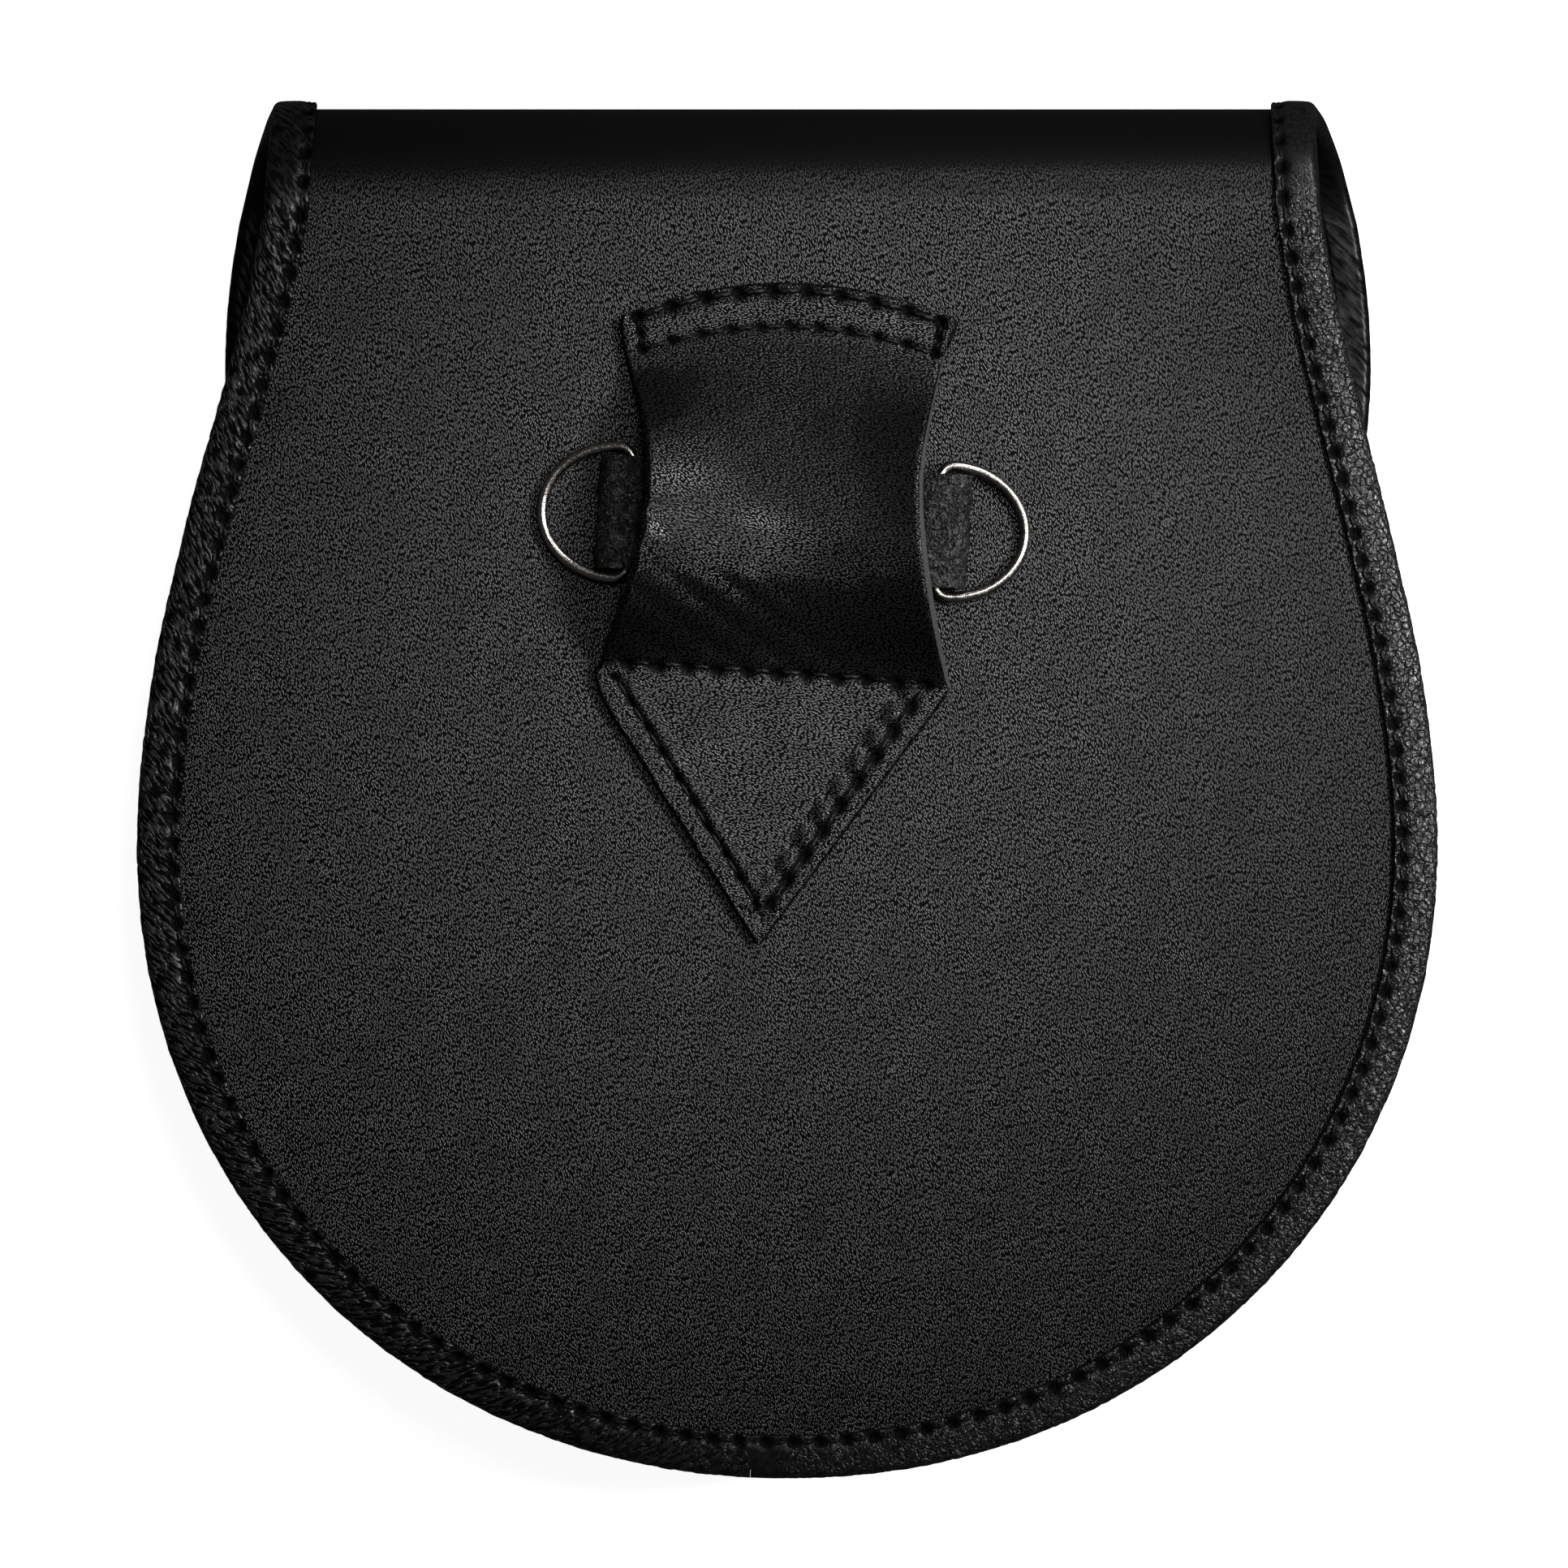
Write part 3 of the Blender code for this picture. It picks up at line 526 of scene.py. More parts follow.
# The glaze is worn through along the creases, and shines on the pebbles between them.
# The left side is drawn into slanting ridges, the right side is crackled, and the flap's edge only ripples.
glazed, shader, add = new_material("glazed_goatskin")
strip_at = add("Attribute", {}, attribute_name="strip").outputs["Vector"]
at = add("SeparateXYZ", {0: add("TexCoord", {}).outputs["Object"]}).outputs
pushed = pushed_about(add, strip_at, 2.2, 2.0, 1.1)
slanted = add("Mapping", {
    "Vector": pushed, "Rotation": (0, 0, math.radians(-42)), "Scale": (2.2 * MM, 0.55 * MM, MM),
}, vector_type="TEXTURE")
ropes = add("TexNoise", {"Vector": slanted, "Scale": 1.0, "Detail": 2.0, "Roughness": 0.45})
ridges = add("MapRange", {"Value": ropes, "From Min": 0.42, "From Max": 0.6}, interpolation_type="SMOOTHSTEP")
crackle = add("TexVoronoi", {"Vector": pushed, "Scale": 1 / (1.25 * MM)}, feature="DISTANCE_TO_EDGE")
creases = add("MapRange", {"Value": crackle, "From Max": 0.12, "To Max": 0.5})
pebbles = add("TexNoise", {"Vector": pushed, "Scale": 1 / (0.55 * MM), "Detail": 1.5, "Distortion": 0.5})
beads = add("MapRange", {
    "Value": pebbles, "From Min": 0.3, "From Max": 0.7, "To Max": 0.5,
}, interpolation_type="SMOOTHSTEP")
crackled = add("Math", {0: creases, 1: beads}, operation="ADD")
to_right = add("MapRange", {"Value": at["X"], "From Min": -45 * MM, "From Max": 25 * MM})
on_back = add("Mix", {0: to_right, 2: ridges, 3: crackled})
slack = add("Mapping", {
    "Vector": strip_at, "Rotation": (0, 0, math.radians(38)), "Scale": (3.4 * MM, 0.9 * MM, MM),
}, vector_type="TEXTURE")
ripples = add("TexNoise", {"Vector": slack, "Scale": 1.0, "Detail": 2.0, "Distortion": 0.3})
# Kept low, this relief leaves the flap's binding near the darker colour: painted shade beneath the back
slack_relief_and_shade = add("MapRange", {"Value": ripples, "From Min": 0.38, "From Max": 0.62, "To Max": 0.3})
from_flap = add("MapRange", {"Value": at["Z"], "From Min": 10 * MM, "From Max": 20 * MM})
skin_height = add("Mix", {0: from_flap, 2: slack_relief_and_shade, 3: on_back})
kept = add("MapRange", {
    "Value": at["Y"], "From Min": 88 * MM, "From Max": 101 * MM, "To Min": 1.0, "To Max": 0.05,
}, interpolation_type="SMOOTHSTEP")
creased = add("MapRange", {
    "Value": add("SeparateXYZ", {0: strip_at}).outputs["X"], "To Min": 0.05, "To Max": kept,
    "From Min": JOINT_SMOOTH * MM, "From Max": (JOINT_SMOOTH + JOINT_REACH) * MM,
})
finish_goatskin(add, shader, skin_height, creased, 0.16, ("#020202", "#181818"), roughness=0.30)
binding = add_mesh("bound_edge", strip, sweep_faces(len(strip), len(outline.out)), glazed, "pouch")
add_values(binding, "hole", pit)
across_strip = outline.out + np.maximum(0, TOP - outline.level)
strip_places = stacked(travelled[:, None] * MM, across_strip * MM, 0.0)
add_values(binding, "strip", strip_places, "FLOAT_VECTOR", "vector")
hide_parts("edge_binding")

# The binding is sewn with waxed, twisted polyester thread of about 0.8 mm.
# Each stitch lies in the channel that it pulls into the leather, and dips into a hole at both ends.
THREAD_SIDES = 9
THREAD_RINGS = 13
THREAD_TWIST = 1.5
HOLE_HALF = 0.65


def thread_stitches(holes, ups, radius, sink, rise):
    """Twisted stitches between holes: they dip by sink at their ends and stand proud by rise between them.
    Each ends at the wall of its hole, so that the hole between two stitches stays open."""
    share = np.linspace(0, 1, THREAD_RINGS)
    ups = unit(ups[:-1] + ups[1:])
    tangent = unit(holes[1:] - holes[:-1])
    starts = holes[:-1] + tangent * HOLE_HALF
    run = holes[1:] - tangent * HOLE_HALF - starts
    lengths = np.linalg.norm(run, axis=1)
    aside = unit(np.cross(ups, tangent))
    lift = (sink + rise) * (1 - np.abs(2 * share - 1) ** 3) - sink
    centre = starts[:, None] + run[:, None] * share[:, None] + ups[:, None] * lift[:, None]
    turn = np.linspace(0, 2 * math.pi, THREAD_SIDES, endpoint=False)
    phase = 2 * math.pi * share * lengths[:, None] / THREAD_TWIST
    lobes = 1 + 0.17 * np.cos(2 * turn - phase[..., None])
    taper = 1 - 0.45 * np.abs(2 * share - 1) ** 4
    size = radius * lobes * taper[:, None]
    ring = (
        centre[:, :, None]
        + aside[:, None, None] * (size * np.cos(turn))[..., None]
        + ups[:, None, None] * (size * np.sin(turn))[..., None]
    )
    faces = []
    block = THREAD_RINGS * THREAD_SIDES
    one = sweep_faces(THREAD_RINGS, THREAD_SIDES)
    for k in range(len(starts)):
        faces += [[i + k * block for i in face] for face in one]
    return ring.reshape(-1, 3), faces


def fibrous(name, colours, fibre_mm, detail, depth_mm, roughness, specular):
    """Fine fibres in two shades, which stand up a little."""
    material, shader, add = new_material(name)
    at = add("TexCoord", {}).outputs["Object"]
    fibres = add("TexNoise", {"Vector": at, "Scale": 1 / (fibre_mm * MM), "Detail": detail})
    shade = add("Mix", {0: fibres, 6: colours[0], 7: colours[1]}, data_type="RGBA")
    bump = add("Bump", {"Height": fibres, "Distance": depth_mm * MM})
    fill_inputs(shader, {
        "Base Color": shade.outputs[2], "Normal": bump,
        "Roughness": roughness, "Specular IOR Level": specular,
    })
    return material


# Wax binds the thread's fibres and deepens its black, with a faint soft shine on the strands
waxed_thread = fibrous(
    "waxed_black_thread", ("#030303", "#0e0e0e"), 0.25, 2.0, 0.05, roughness=0.45, specular=0.2
)
hole_places = np.arange(0.5, round(travelled[-1] / pitch), 1) * pitch
at_hole = np.round(hole_places / travelled[-1] * (len(travelled) - 1)).astype(int)
ups = edge.normal[at_hole]
holes = edge.point[at_hole] + edge.out[at_hole] * stitch_out + ups * (TOP - 0.18)
points, faces = thread_stitches(holes, ups, radius=0.34, sink=1.25, rise=0.06)
points[:, 2] = np.maximum(points[:, 2], 0.02)
add_mesh("binding_stitches", points, faces, waxed_thread, "pouch")

# The gusset is a band of soft goatskin that joins the back to the front panel, open at the top.
# It is turned in at the middle, and flattens into a flange where it is sewn to each of them.
MOUTH_HEIGHT = 190.0
GUSSET_THICK = 1.2
GUSSET_FLANGE_END = -0.3
GUSSET_FLANGE_ROOT = -5.0
GUSSET_WALL = -7.6
GUSSET_WAIST = -9.6
GUSSET_BEND_DROP = 0.7
GUSSET_WALL_DROP = 2.8
FRONT_THICK = 1.8
FRONT_FLANGE_END = -2.0
RIM_LEVEL = 8.0


def body_edge(bottom, side):
    """The back's edge from the mouth on the left, round the bottom, to the mouth on the right."""
    rows = sheet_rows(bottom, side, fold=4, flap_side=2, flap_round=2)
    rows = [row for row in rows if row.normal is UP and row.height < MOUTH_HEIGHT]
    rows += [back_row(MOUTH_HEIGHT), back_row(MOUTH_HEIGHT + 1)]
    right, left = edge_side(rows, 1), edge_side(rows, -1)
    return Edge(*(np.concatenate([l[-2:0:-1], r[:-1]]) for r, l in zip(right, left)))


def softened(line, times):
    """A line of points with its bends rounded, by cutting each corner."""
    for _ in range(times):
        cut = np.stack([line[:-1] * 0.75 + line[1:] * 0.25, line[:-1] * 0.25 + line[1:] * 0.75], axis=1)
        line = np.concatenate([line[:1], cut.reshape(-1, line.shape[1]), line[-1:]])
    return line


def thickened(line, thick):
    """The two sides of a line of (out, level) points."""
    run = np.gradient(line, axis=0)
    side = unit(np.stack([-run[:, 1], run[:, 0]], axis=1)) * thick / 2
    return line + side, line - side


def under_back(point, flat_out, out):
    at = point + flat_out * out
    height = at[1] + TOTAL_HEIGHT / 2
    sunk = float(droop(at[0] - back_shift(height), height))
    return BACK_MID - sunk - SHEET_THICK / 2 - GAP - GUSSET_THICK / 2


pouch_edge = body_edge(bottom=70, side=44)
outside, inside = [], []
for point, out in zip(pouch_edge.point, pouch_edge.out):
    flat_out = unit(np.array((out[0], out[1], 0.0)))
    top = under_back(point, flat_out, GUSSET_FLANGE_ROOT)
    low = RIM_LEVEL + FRONT_THICK + GAP + GUSSET_THICK / 2
    bend_out = (GUSSET_FLANGE_ROOT + GUSSET_WALL * 2) / 3
    line = np.array([
        (GUSSET_FLANGE_END, under_back(point, flat_out, GUSSET_FLANGE_END)),
        (GUSSET_FLANGE_ROOT, top),
        (bend_out, top - GUSSET_BEND_DROP),
        (GUSSET_WALL, top - GUSSET_WALL_DROP),
        (GUSSET_WAIST, (top + low) / 2),
        (GUSSET_WALL, low + GUSSET_WALL_DROP),
        (bend_out, low + GUSSET_BEND_DROP),
        (GUSSET_FLANGE_ROOT, low),
        (FRONT_FLANGE_END, low),
    ])
    line = softened(line, 2)
    pull = 0.45 * noise.noise(Vector(point / 9)) * np.sin(np.linspace(0, math.pi, len(line))) ** 2
    line[:, 0] += pull
    base = np.array((point[0], point[1], 0.0))
    for side, grid in zip(thickened(line, GUSSET_THICK), (outside, inside)):
        grid.append(base + np.multiply.outer(side[:, 0], flat_out) + np.multiply.outer(side[:, 1], UP))


def wrinkled_goatskin(name, colours, roughness, wrinkle_mm, pebble_mm, depth_mm):
    """Soft skin with deep irregular wrinkles over a fine pebble, and a dull glaze on its tops."""
    material, shader, add = new_material(name)
    at = add("TexCoord", {}).outputs["Object"]
    folds = add("TexNoise", {
        "Vector": at, "Scale": 1 / (wrinkle_mm * MM), "Detail": 3.0, "Roughness": 0.6, "Distortion": 0.4,
    })
    off_middle = add("Math", {0: folds, 1: 0.5}, operation="SUBTRACT")
    ridged = add("Math", {0: off_middle}, operation="ABSOLUTE")
    wrinkles = add("MapRange", {"Value": ridged, "From Max": 0.10, "To Max": 0.45})
    pebbles = add("TexNoise", {"Vector": at, "Scale": 1 / (pebble_mm * MM), "Detail": 2.0})
    grains = add("MapRange", {"Value": pebbles, "From Min": 0.35, "From Max": 0.65})
    height = add("Math", {0: grains, 1: 0.4, 2: wrinkles}, operation="MULTIPLY_ADD")
    finish_goatskin(add, shader, height, 1.0, depth_mm, colours, roughness)
    return material


# The gusset's skin is never rubbed, so it keeps a dull black with a slight shine on its folds
soft_goat = wrinkled_goatskin(
    "soft_gusset_goatskin", ("#070707", "#161616"), 0.42, wrinkle_mm=4.0, pebble_mm=0.7, depth_mm=0.16
)
gusset = add_wall("side_gusset", outside, inside, soft_goat)
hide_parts("gusset")

# The front panel is the same grained cowhide, 1.8 mm thick, and wet-formed to a shallow belly.
# It is sewn to the gusset round its rim, and lies under the flap as far as the flap reaches.
FRONT_INSET = 1.3
RIM_SHARE = 0.93
PANEL_LEVEL = 6.2
PANEL_SHARE = 0.75
BULGE = 7.5
BULGE_SHARE = 0.63
BULGE_START = FLAP_RADIUS + 5.0
BULGE_REACH = 22.0
RIM_STITCH_IN = 3.6


def front_level(x, height):
    """The level of the front panel's outer face: a flat rim, a shallow panel and a belly below the flap."""
    out = share_out(x, height)
    panel = ease((RIM_SHARE - out) / (RIM_SHARE - PANEL_SHARE))
    from_flap = np.hypot(x, height - FLAP_ROUND_HEIGHT) - BULGE_START
    belly = ease(from_flap / BULGE_REACH) * ease((RIM_SHARE - out) / (RIM_SHARE - BULGE_SHARE))
    return np.maximum(0.0, RIM_LEVEL - (RIM_LEVEL - PANEL_LEVEL) * panel - BULGE * belly)


half = len(pouch_edge.point) // 2
outer, inner = [], []
for point, out in zip(pouch_edge.point[half:], pouch_edge.out[half:]):
    rim = point - out * FRONT_INSET
    height = rim[1] + TOTAL_HEIGHT / 2
    shift = back_shift(height)
    xs = max(0.0, rim[0] - shift) * shares
    outer.append(place(xs + shift, height, front_level(xs, height)))
    inner.append(outer[-1] + UP * FRONT_THICK)
front = add_wall("formed_front_panel", outer, inner, plate_grained)
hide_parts("front_panel")
rim_line = pouch_edge.point - pouch_edge.out * RIM_STITCH_IN
rim_line[:, 2] = RIM_LEVEL
rim_travel = travel(rim_line)
rim_holes = spread_along(np.arange(2.0, rim_travel[-1] - 2.0, STITCH_PITCH), rim_travel, rim_line)
points, faces = thread_stitches(rim_holes, np.tile(-UP, (len(rim_holes), 1)), radius=0.36, sink=0.5, rise=0.1)
add_mesh("front_rim_stitches", points, faces, waxed_thread, "pouch")

# A plain press stud of nickel-plated brass holds the flap to the front panel, out of sight between them.
# It is turned and tumbled, and fine marks on its plate blur the reflections unevenly.
plated_stud, shader, add = new_material("turned_nickel_plated_brass")
at = add("TexCoord", {}).outputs["Object"]
marks = add("TexNoise", {"Vector": at, "Scale": 1 / (0.6 * MM), "Detail": 3.0})
dull = add("MapRange", {"Value": marks, "To Min": 0.22, "To Max": 0.4})
turned = add("Bump", {"Height": marks, "Distance": 0.01 * MM})
fill_inputs(shader, {"Base Color": "#b3aea6", "Roughness": dull, "Normal": turned, "Metallic": 1.0})
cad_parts["flap_stud"].material_slots[0].material = plated_stud

# The belt loop is one piece of the grained cowhide, 1.8 mm thick, with a pointed lower end.
# It is sewn flat at both ends, and the free part between them bows up and curls at its side edges.
LOOP_THICK = 1.8
LOOP_RISE = 11.0
LOOP_CREST = 0.58
LOOP_CURL = 4.2
LOOP_CURL_START = 1.6
LOOP_FREE_TOP = 178.0
LOOP_FREE_BOTTOM = 130.0
LOOP_SEAM_DROP = 3.4
LOOP_CORNER = 2.2
RAW_EDGE = 0.9
RAW_ROWS = range(15, 112)
CUT_EDGE = 0.5
PIT_DEPTH = 0.95
CHANNEL_DEPTH = 0.24
THINNEST = 0.35
LoopRow = namedtuple("LoopRow", "left_height left right_height right arch lift")
LOOP_TOP = LoopRow(186.4, -27.0, 185.8, 27.9, 5.0, 0.0)
LOOP_SEAM = LoopRow(180.4, -26.0, 179.3, 25.2, 3.6, 0.0)
LOOP_CORNERS = LoopRow(127.0, -31.0, 126.6, 26.6, 0.0, 0.0)
LOOP_POINT = LoopRow(85.1, -4.5, 85.1, -4.5, 0.0, 0.0)
LoopSide = namedtuple("LoopSide", "height left right")
LOOP_SIDES = (
    LoopSide(178.0, -25.4, 24.7),
    LoopSide(169.0, -23.0, 22.7),
    LoopSide(160.0, -22.3, 21.4),
    LoopSide(152.0, -23.0, 21.7),
    LoopSide(142.0, -25.6, 23.2),
    LoopSide(130.0, -30.3, 26.0),
)
Seam = namedtuple("Seam", "x0 height0 x1 height1 arch holes thread pit")
LOOP_SEAMS = (
    Seam(-24.0, 185.7, 24.4, 184.8, 4.55, 10, 0.48, 0.85),
    Seam(-23.2, 180.4, 23.6, 179.6, 4.1, 11, 0.36, 0.60),
    Seam(-24.0, 185.7, -23.2, 180.4, 0.0, 3, 0.32, 0.45),
    Seam(24.4, 184.8, 23.6, 179.6, 0.0, 3, 0.40, 0.50),
    Seam(-25.5, 130.7, 22.0, 127.5, 0.0, 11, 0.42, 0.92),
    Seam(-27.5, 128.3, -5.1, 92.1, 0.0, 10, 0.28, 0.52),
    Seam(22.4, 127.2, -2.9, 91.8, 0.0, 10, 0.34, 0.80),
)
LEFT_RIM, RIGHT_RIM = LOOP_SEAMS[5], LOOP_SEAMS[6]
TIP_CREASE = ((-7.6, 91.2), (-4.0, 90.0), (-1.2, 90.5))


def between(first, last, count):
    """Even steps from one row towards the next, without the last."""
    shares = np.linspace(0, 1, count, endpoint=False)[:, None]
    return np.array(first) * (1 - shares) + np.array(last) * shares


def loop_lift(share):
    """How far the free part's under side stands off the back, at a share of the way from its top."""
    rise = np.where(share < LOOP_CREST, share / LOOP_CREST, (1 - share) / (1 - LOOP_CREST))
    return LOOP_RISE * (np.sin(math.pi / 2 * rise) + ease(rise)) / 2


def loop_rows():
    """The loop's rows from its top edge to its point, with the bends of its outline rounded."""
    share = np.linspace(0, 1, 84)
    height = LOOP_FREE_TOP + (LOOP_FREE_BOTTOM - LOOP_FREE_TOP) * share
    free = np.stack([
        height,
        read_table(LOOP_SIDES, "height", "left", height),
        height - LOOP_SEAM_DROP * share,
        read_table(LOOP_SIDES, "height", "right", height),
        LOOP_SEAM.arch * (1 - share),
        loop_lift(share),
    ], axis=1)
    rows = np.concatenate([
        between(LOOP_TOP, LOOP_SEAM, 18), between(LOOP_SEAM, free[0], 4), free[:-1],
        between(free[-1], LOOP_CORNERS, 5), between(LOOP_CORNERS, LOOP_POINT, 68),
    ])
    reach = 4
    before, after = 2 * rows[0] - rows[reach:0:-1], 2 * rows[-1] - rows[-2:-2 - reach:-1]
    padded = np.concatenate([before, rows, after])
    return sum(padded[k:k + len(rows)] for k in range(2 * reach + 1)) / (2 * reach + 1)


def seam_holes(seam):
    share = np.linspace(0, 1, seam.holes)
    x = seam.x0 + (seam.x1 - seam.x0) * share
    return x, seam.height0 + (seam.height1 - seam.height0) * share + seam.arch * 4 * share * (1 - share)


def from_seam(seam, x, height):
    """How far along a straight seam points lie, as a share of it, and how far to its right."""
    run = np.array((seam.x1 - seam.x0, seam.height1 - seam.height0))
    length = np.linalg.norm(run)
    along = ((x - seam.x0) * run[0] + (height - seam.height0) * run[1]) / length
    aside = ((x - seam.x0) * run[1] - (height - seam.height0) * run[0]) / length
    return along / length, aside


def to_line(x, height, points):
    """The distance from points to a line through others."""
    nearest = np.full(np.shape(x), np.inf)
    for (x0, h0), (x1, h1) in zip(points[:-1], points[1:]):
        run = np.array((x1 - x0, h1 - h0))
        share = np.clip(((x - x0) * run[0] + (height - h0) * run[1]) / (run @ run), 0, 1)
        nearest = np.minimum(nearest, np.hypot(x - x0 - run[0] * share, height - h0 - run[1] * share))
    return nearest


loop = LoopRow(*(column[:, None] for column in loop_rows().T))
across = (1 - np.cos(np.linspace(0, math.pi, 101))) / 2 * 0.55 + np.linspace(0, 1, 101) * 0.45
from_top = LOOP_TOP.left_height - loop.left_height
corner = np.clip(LOOP_CORNER - from_top, 0, LOOP_CORNER)
inset = LOOP_CORNER - np.sqrt(LOOP_CORNER**2 - corner**2)
left, right = loop.left + inset, loop.right - inset
x = left + (right - left) * across
height = loop.left_height + (loop.right_height - loop.left_height) * across
height = height + loop.arch * 4 * across * (1 - across)
curl = LOOP_CURL * ease(LOOP_CURL_START * loop.lift / LOOP_RISE)
level = BACK_FACE + GAP + loop.lift + curl * (2 * across - 1) ** 2
from_side = np.minimum(x - left, right - x)
from_end = np.minimum(from_side, np.maximum(from_top, 0))

relief = np.zeros_like(x)
loop_pit = np.zeros_like(x)
for seam in LOOP_SEAMS:
    hole_x, hole_height = seam_holes(seam)
    line = to_line(x, height, list(zip(hole_x, hole_height)))
    relief -= CHANNEL_DEPTH * np.exp(-((line / (seam.thread * 1.5)) ** 2))
    for hx, hh in zip(hole_x, hole_height):
        loop_pit = np.maximum(loop_pit, np.exp(-(((x - hx) ** 2 + (height - hh) ** 2) / seam.pit**2)))
relief -= PIT_DEPTH * loop_pit
share, outward = from_seam(LEFT_RIM, x, height)
rim = np.clip(-outward / 2.7, 0, 1)
relief += 0.5 * np.sin(math.pi * rim) * (outward < 0) * ease(share / 0.08) * ease((1.06 - share) / 0.05)
share, outward = from_seam(RIGHT_RIM, x, height)
rim = np.clip(outward / 3.6, 0, 1)
lump = (0.5 - 0.5 * np.cos(2 * math.pi * (share * (RIGHT_RIM.holes - 1)))) ** 0.7
on_rim = (outward > 0) * ease(share / 0.08) * ease((1.04 - share) / 0.05)
relief += (0.75 * lump - 0.15) * np.sin(math.pi * rim**0.8) * on_rim
bulge_out = 0.5 * (lump - 0.6) * rim * on_rim
relief -= 0.45 * np.exp(-((to_line(x, height, TIP_CREASE) / 0.35) ** 2))
relief += 0.10 * bumps(stacked(x, height, 0), 9.0) * (loop.lift < 0.5)
run = np.array((RIGHT_RIM.height1 - RIGHT_RIM.height0, RIGHT_RIM.x0 - RIGHT_RIM.x1))
run = run / np.linalg.norm(run)
x = x + bulge_out * abs(run[0])
height = height - bulge_out * abs(run[1])
under = place(x, height, level)
normals = unit(np.cross(np.gradient(under, axis=1), -np.gradient(under, axis=0)))
normals *= np.sign(normals[..., 2:])
is_right = right - x < x - left
bevel = np.where(is_right, RAW_EDGE, CUT_EDGE)
edge_share = np.where(is_right, 0.45, 0.7)
rounding = np.sqrt(1 - (1 - np.clip(from_end / bevel, 0, 1)) ** 2)
thick = LOOP_THICK * (edge_share + (1 - edge_share) * rounding)
over = under + normals * (thick + np.maximum(relief, THINNEST - thick))[..., None]

# The loop is cut at a slant to the back's grain, and belts have rubbed its glaze to a sharper shine
loop_leather = grained_leather(
    "plate_grained_loop_cowhide", ("#010101", "#161616"), roughness=0.21, grain=(0.26, 0.56), turn_degrees=62,
    smooth_over=False
)
belt_loop = add_wall("sewn_belt_loop", over, under, loop_leather, sharp_degrees=60)
add_values(belt_loop, "hole", np.concatenate([loop_pit, 0 * loop_pit]))
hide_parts("belt_loop")

# The loop's edges are left as the knife cut them, so grey fibres show along its right side
raw_edge = fibrous(
    "raw_cut_leather_edge", ("#141414", "#444444"), 0.35, 3.0, 0.1, roughness=0.85, specular=0.5
)
belt_loop.data.materials.append(raw_edge)
columns = x.shape[1]
for polygon in belt_loop.data.polygons:
    row, column = divmod(polygon.vertices[0] % x.size, columns)
    if row in RAW_ROWS and column >= columns - 2 and right[row, 0] - x[row, column] < 0.5 * RAW_EDGE:
        polygon.material_index = 1

points, faces = [], []
for seam in LOOP_SEAMS:
    at_hole = []
    for hx, hh in zip(*seam_holes(seam)):
        row, column = np.unravel_index(np.argmin(np.hypot(x - hx, height - hh)), x.shape)
        top = under[row, column] + normals[row, column] * (LOOP_THICK - 0.2)
        at_hole.append((np.array((hx, hh - TOTAL_HEIGHT / 2, top[2])), normals[row, column]))
    holes, ups = (np.array(v) for v in zip(*at_hole))
    more, quads = thread_stitches(holes, ups, radius=seam.thread, sink=0.55, rise=seam.thread * 0.45)
    start = sum(len(p) for p in points)
    points.append(more)
    faces += [[i + start for i in quad] for quad in quads]
add_mesh("loop_stitches", np.concatenate(points), faces, waxed_thread, "pouch")

# The ring strap is a strip of soft goatskin under the loop, and each end folds round the bar of a ring.
# The folds are hand-turned and rubbed matt, with deep wrinkles.
STRAP_THICK = 1.3
STRAP_CENTRE = (-0.55, 152.9)
STRAP_TURN = math.radians(-3.33)
STRAP_HALF_WIDTH = 9.0
BAR_REACH = 24.5
FOLD_ROOM = 1.3
FOLD_BEYOND = 5.1
PINCH_START = 0.6
PINCH_REACH = 6.0


def along_strap(along, across, level):
    """Points from their places along the strap and across it, both from its middle."""
    turn = (math.cos(STRAP_TURN), math.sin(STRAP_TURN))
    x = STRAP_CENTRE[0] + turn[0] * along - turn[1] * across
    return place(x, STRAP_CENTRE[1] + turn[1] * along + turn[0] * across, level)


def strap_line():
    """The strip's middle line as (along, level): out under the rings, round both folds and back on top."""
    low = BACK_FACE + GAP + STRAP_THICK / 2
    radius = FOLD_ROOM + STRAP_THICK / 2
    top = low + STRAP_THICK + GAP
    centre = BAR_REACH + FOLD_BEYOND - radius - STRAP_THICK / 2
    out = [(GAP / 2, low), *((a, low) for a in np.linspace(2, centre - 0.4, 50))]
    turns = np.linspace(-math.pi / 2, math.pi / 2, 18)
    bend = [(centre + radius * math.cos(t), low + radius + radius * math.sin(t)) for t in turns]
    share = np.linspace(0, 1, 16)
    inward, high = BAR_REACH - PINCH_START - PINCH_REACH * share, low + 2 * radius
    back = np.stack([inward, high - (high - top) * ease(share)], axis=1)
    right = np.array([*out, *bend, *back])
    return np.concatenate([right, (right * (-1, 1))[::-1]])


line = strap_line()
inside_fold, outside_fold = thickened(line, STRAP_THICK)
across_strap = np.linspace(-1, 1, 45)
low = BACK_FACE + GAP
grids = []
for side, is_outside in ((outside_fold, True), (inside_fold, False)):
    along = side[:, :1] + 0 * across_strap
    level = side[:, 1:] + 0 * across_strap
    width = STRAP_HALF_WIDTH * (1 + 0.035 * bumps(stacked(along, 0, 0), 4.0))
    grid = along_strap(along, width * across_strap, level)
    if is_outside:
        normal = unit(np.cross(np.gradient(grid, axis=0), np.gradient(grid, axis=1)))
        free = ease((level - low - 0.2) / 1.2)
        folds = bumps(grid, 2.6)
        deep = np.clip(1 - np.abs(bumps(grid + 30, 2.0, 1.4, 2.0)) / 0.16, 0, 1)
        raised = (0.22 * folds + 0.14 * bumps(grid, 1.1) - 0.28 * deep + 0.05) * free
        grid = grid + normal * raised[..., None]
    grids.append(grid)
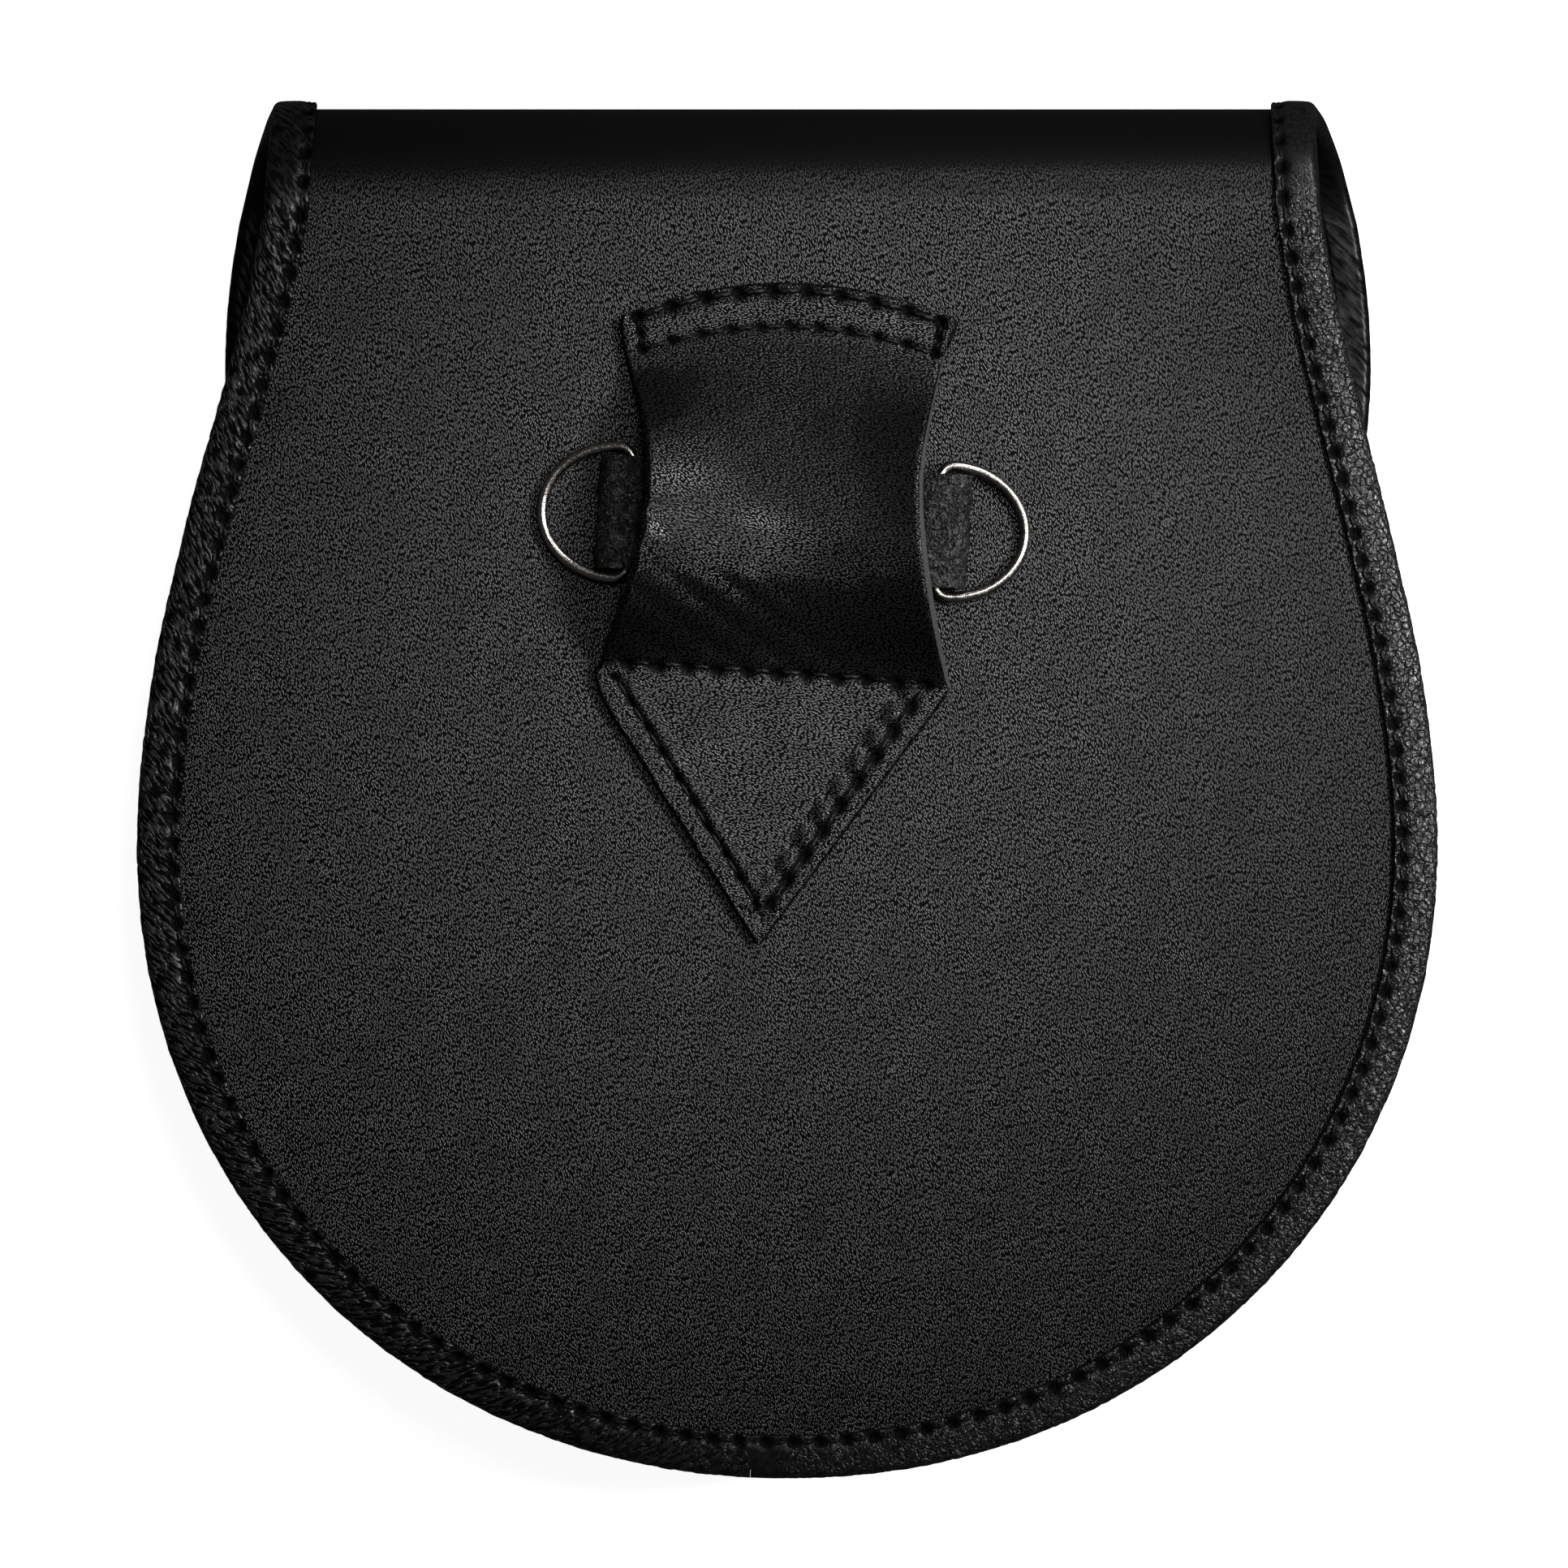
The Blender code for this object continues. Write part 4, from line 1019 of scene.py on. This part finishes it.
# Handling has rubbed the strap's skin matt, and its creases carry painted shade, with painted light on the
# tops between them
matt_goatskin = wrinkled_goatskin(
    "rubbed_matt_goatskin", ("#050505", "#1c1c1c"), 0.42, wrinkle_mm=1.9, pebble_mm=0.45, depth_mm=0.30
)
strap = add_wall("folded_ring_strap", *grids, matt_goatskin)
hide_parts("ring_strap")

# The two D-rings are bent from 1.7 mm steel wire and plated with nickel that has darkened and scuffed.
# Each turns on its straight bar, inside the fold of the strap.
WIRE_RADIUS = 0.85
WIRE_SIDES = 24
RING_HALF_HEIGHT = 10.45
RING_DEPTH = 14.2
RING_CORNER = 2.2
BAR_LEVEL = BACK_FACE + GAP + STRAP_THICK + FOLD_ROOM
RING_DIP = math.asin((BAR_LEVEL - BACK_FACE - GAP - WIRE_RADIUS) / RING_DEPTH)


def ring_line():
    """The wire's middle line as (out, across): the bar is at out 0, and the bow reaches the ring's depth."""
    straight = RING_HALF_HEIGHT - RING_CORNER
    turn = np.linspace(0, math.pi / 2, 10, endpoint=False)
    corner = np.stack([RING_CORNER * (1 - np.cos(turn)), straight + RING_CORNER * np.sin(turn)], axis=1)
    turn = np.linspace(0, math.pi, 97)
    depth = RING_CORNER + (RING_DEPTH - RING_CORNER) * np.sin(turn)
    bow = np.stack([depth, RING_HALF_HEIGHT * np.cos(turn)], axis=1)
    bar = np.stack([np.zeros(12), np.linspace(-straight, straight, 12, endpoint=False)], axis=1)
    return np.concatenate([bar, corner, bow, (corner * (1, -1))[:0:-1]])


# Stains darken the plate in patches, and fine scuffs blur its reflections unevenly
darkened_nickel, shader, add = new_material("darkened_nickel_plate")
at = add("TexCoord", {}).outputs["Object"]
scuffs = add("TexNoise", {"Vector": at, "Scale": 1 / (0.5 * MM), "Detail": 4.0, "Roughness": 0.7})
stains = add("TexNoise", {"Vector": at, "Scale": 1 / (3 * MM), "Detail": 3.0})
shade = add("Mix", {0: stains, 6: "#8b857e", 7: "#c9c5bf"}, data_type="RGBA")
dull = add("MapRange", {"Value": scuffs, "From Min": 0.35, "From Max": 0.7, "To Min": 0.14, "To Max": 0.36})
bump = add("Bump", {"Height": scuffs, "Distance": 0.02 * MM})
fill_inputs(shader, {"Base Color": shade.outputs[2], "Roughness": dull, "Normal": bump, "Metallic": 1.0})

turns = np.linspace(0, 2 * math.pi, WIRE_SIDES, endpoint=False)[:, None]
for name, side in (("ring_left", -1), ("ring_right", 1)):
    origin = along_strap(BAR_REACH * side, 0, BAR_LEVEL)
    bar = unit(along_strap(0, 1, 0) - along_strap(0, 0, 0))
    flat = unit(along_strap(side, 0, 0) - along_strap(0, 0, 0))
    out = flat * math.cos(RING_DIP) - UP * math.sin(RING_DIP)
    wire = ring_line()
    wire = origin + wire[:, :1] * out + wire[:, 1:] * bar
    up = unit(np.cross(out, bar))
    run = unit(np.roll(wire, -1, axis=0) - np.roll(wire, 1, axis=0))
    aside = unit(np.cross(run, up))
    tube = wire[:, None] + (aside[:, None] * np.cos(turns) + up * np.sin(turns)) * WIRE_RADIUS
    quads = sweep_faces(len(wire), WIRE_SIDES, closed=True)
    ring = add_mesh(name + "_wire", tube, quads, darkened_nickel, name)
    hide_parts(name)

# The stage is a pale floor under soft lights, and it stays out of the leather's reflections
floor_mesh = bpy.data.meshes.new("pale_floor")
floor_mesh.from_pydata([(-4, -4, 0), (4, -4, 0), (4, 4, 0), (-4, 4, 0)], [], [(0, 1, 2, 3)])
floor = add_object("pale_floor", floor_mesh)
# The paper has a glow of its own, which keeps it an even white round the pouch
pale, shader, _ = new_material("matt_white_paper")
fill_inputs(shader, {
    "Base Color": "#f2f2f2", "Roughness": 1.0, "Emission Color": (1, 1, 1, 1), "Emission Strength": 0.93,
})
floor_mesh.materials.append(pale)
floor.visible_glossy = False

# Softboxes with grids face points of the back, so their light falls off towards the pouch's edges
SOFTBOX_SPREAD = 22
SOFTBOX_DISTANCE = 0.7


def add_soft_light(name, aim, lean_degrees, size, power):
    """A square softbox of a size in metres that faces a point of the back, in millimetres."""
    data = bpy.data.lights.new(name, "AREA")
    data.shape = "RECTANGLE"
    data.size = data.size_y = size
    data.energy = power
    data.spread = math.radians(SOFTBOX_SPREAD)
    light = add_object(name, data)
    aside, ahead = (math.tan(math.radians(lean)) for lean in lean_degrees)
    away = Vector((aside, ahead, 1.0)).normalized() * SOFTBOX_DISTANCE
    light.location = away + Vector((*aim, BACK_FACE)) * MM
    light.rotation_euler = away.to_track_quat("Z", "Y").to_euler()
    light.visible_camera = False


add_soft_light("key_softbox", (44, 22), (40, 6), 0.20, 0.132)
add_soft_light("high_softbox", (44, 22), (38, 18), 0.20, 0.036)
add_soft_light("top_softbox", (44, 22), (30, 45), 0.20, 0.064)
add_soft_light("overhead_softbox", (-20, 42), (8, 9), 0.15, 0.033)

# The air looks pale to the camera, and is almost dark to the leather
world = bpy.data.worlds.new("studio")
bpy.context.scene.world = world
world.use_nodes = True
seen = add_node(world.node_tree, "LightPath", {}).outputs["Is Camera Ray"]
brightness = add_node(world.node_tree, "MapRange", {"Value": seen, "To Min": 0.035, "To Max": 0.95})
fill_inputs(world.node_tree.nodes["Background"], {"Color": (1, 1, 1, 1), "Strength": brightness})
bpy.context.scene.view_settings.view_transform = "Standard"

# The camera looks straight down from a metre over the back, and sees 250 mm across, as the photograph does
CAMERA_DISTANCE = 1.0
SENSOR_WIDTH = 36.0
PHOTO_PIXELS = 1932
PIXEL_SIZE = 0.0001296
camera_data = bpy.data.cameras.new("camera")
camera_data.sensor_width = SENSOR_WIDTH
camera_data.lens = SENSOR_WIDTH * CAMERA_DISTANCE / (PHOTO_PIXELS * PIXEL_SIZE)
camera = add_object("camera", camera_data)
camera.location = (-0.00052, 0.00019, BACK_FACE * MM + CAMERA_DISTANCE)
bpy.context.scene.camera = camera
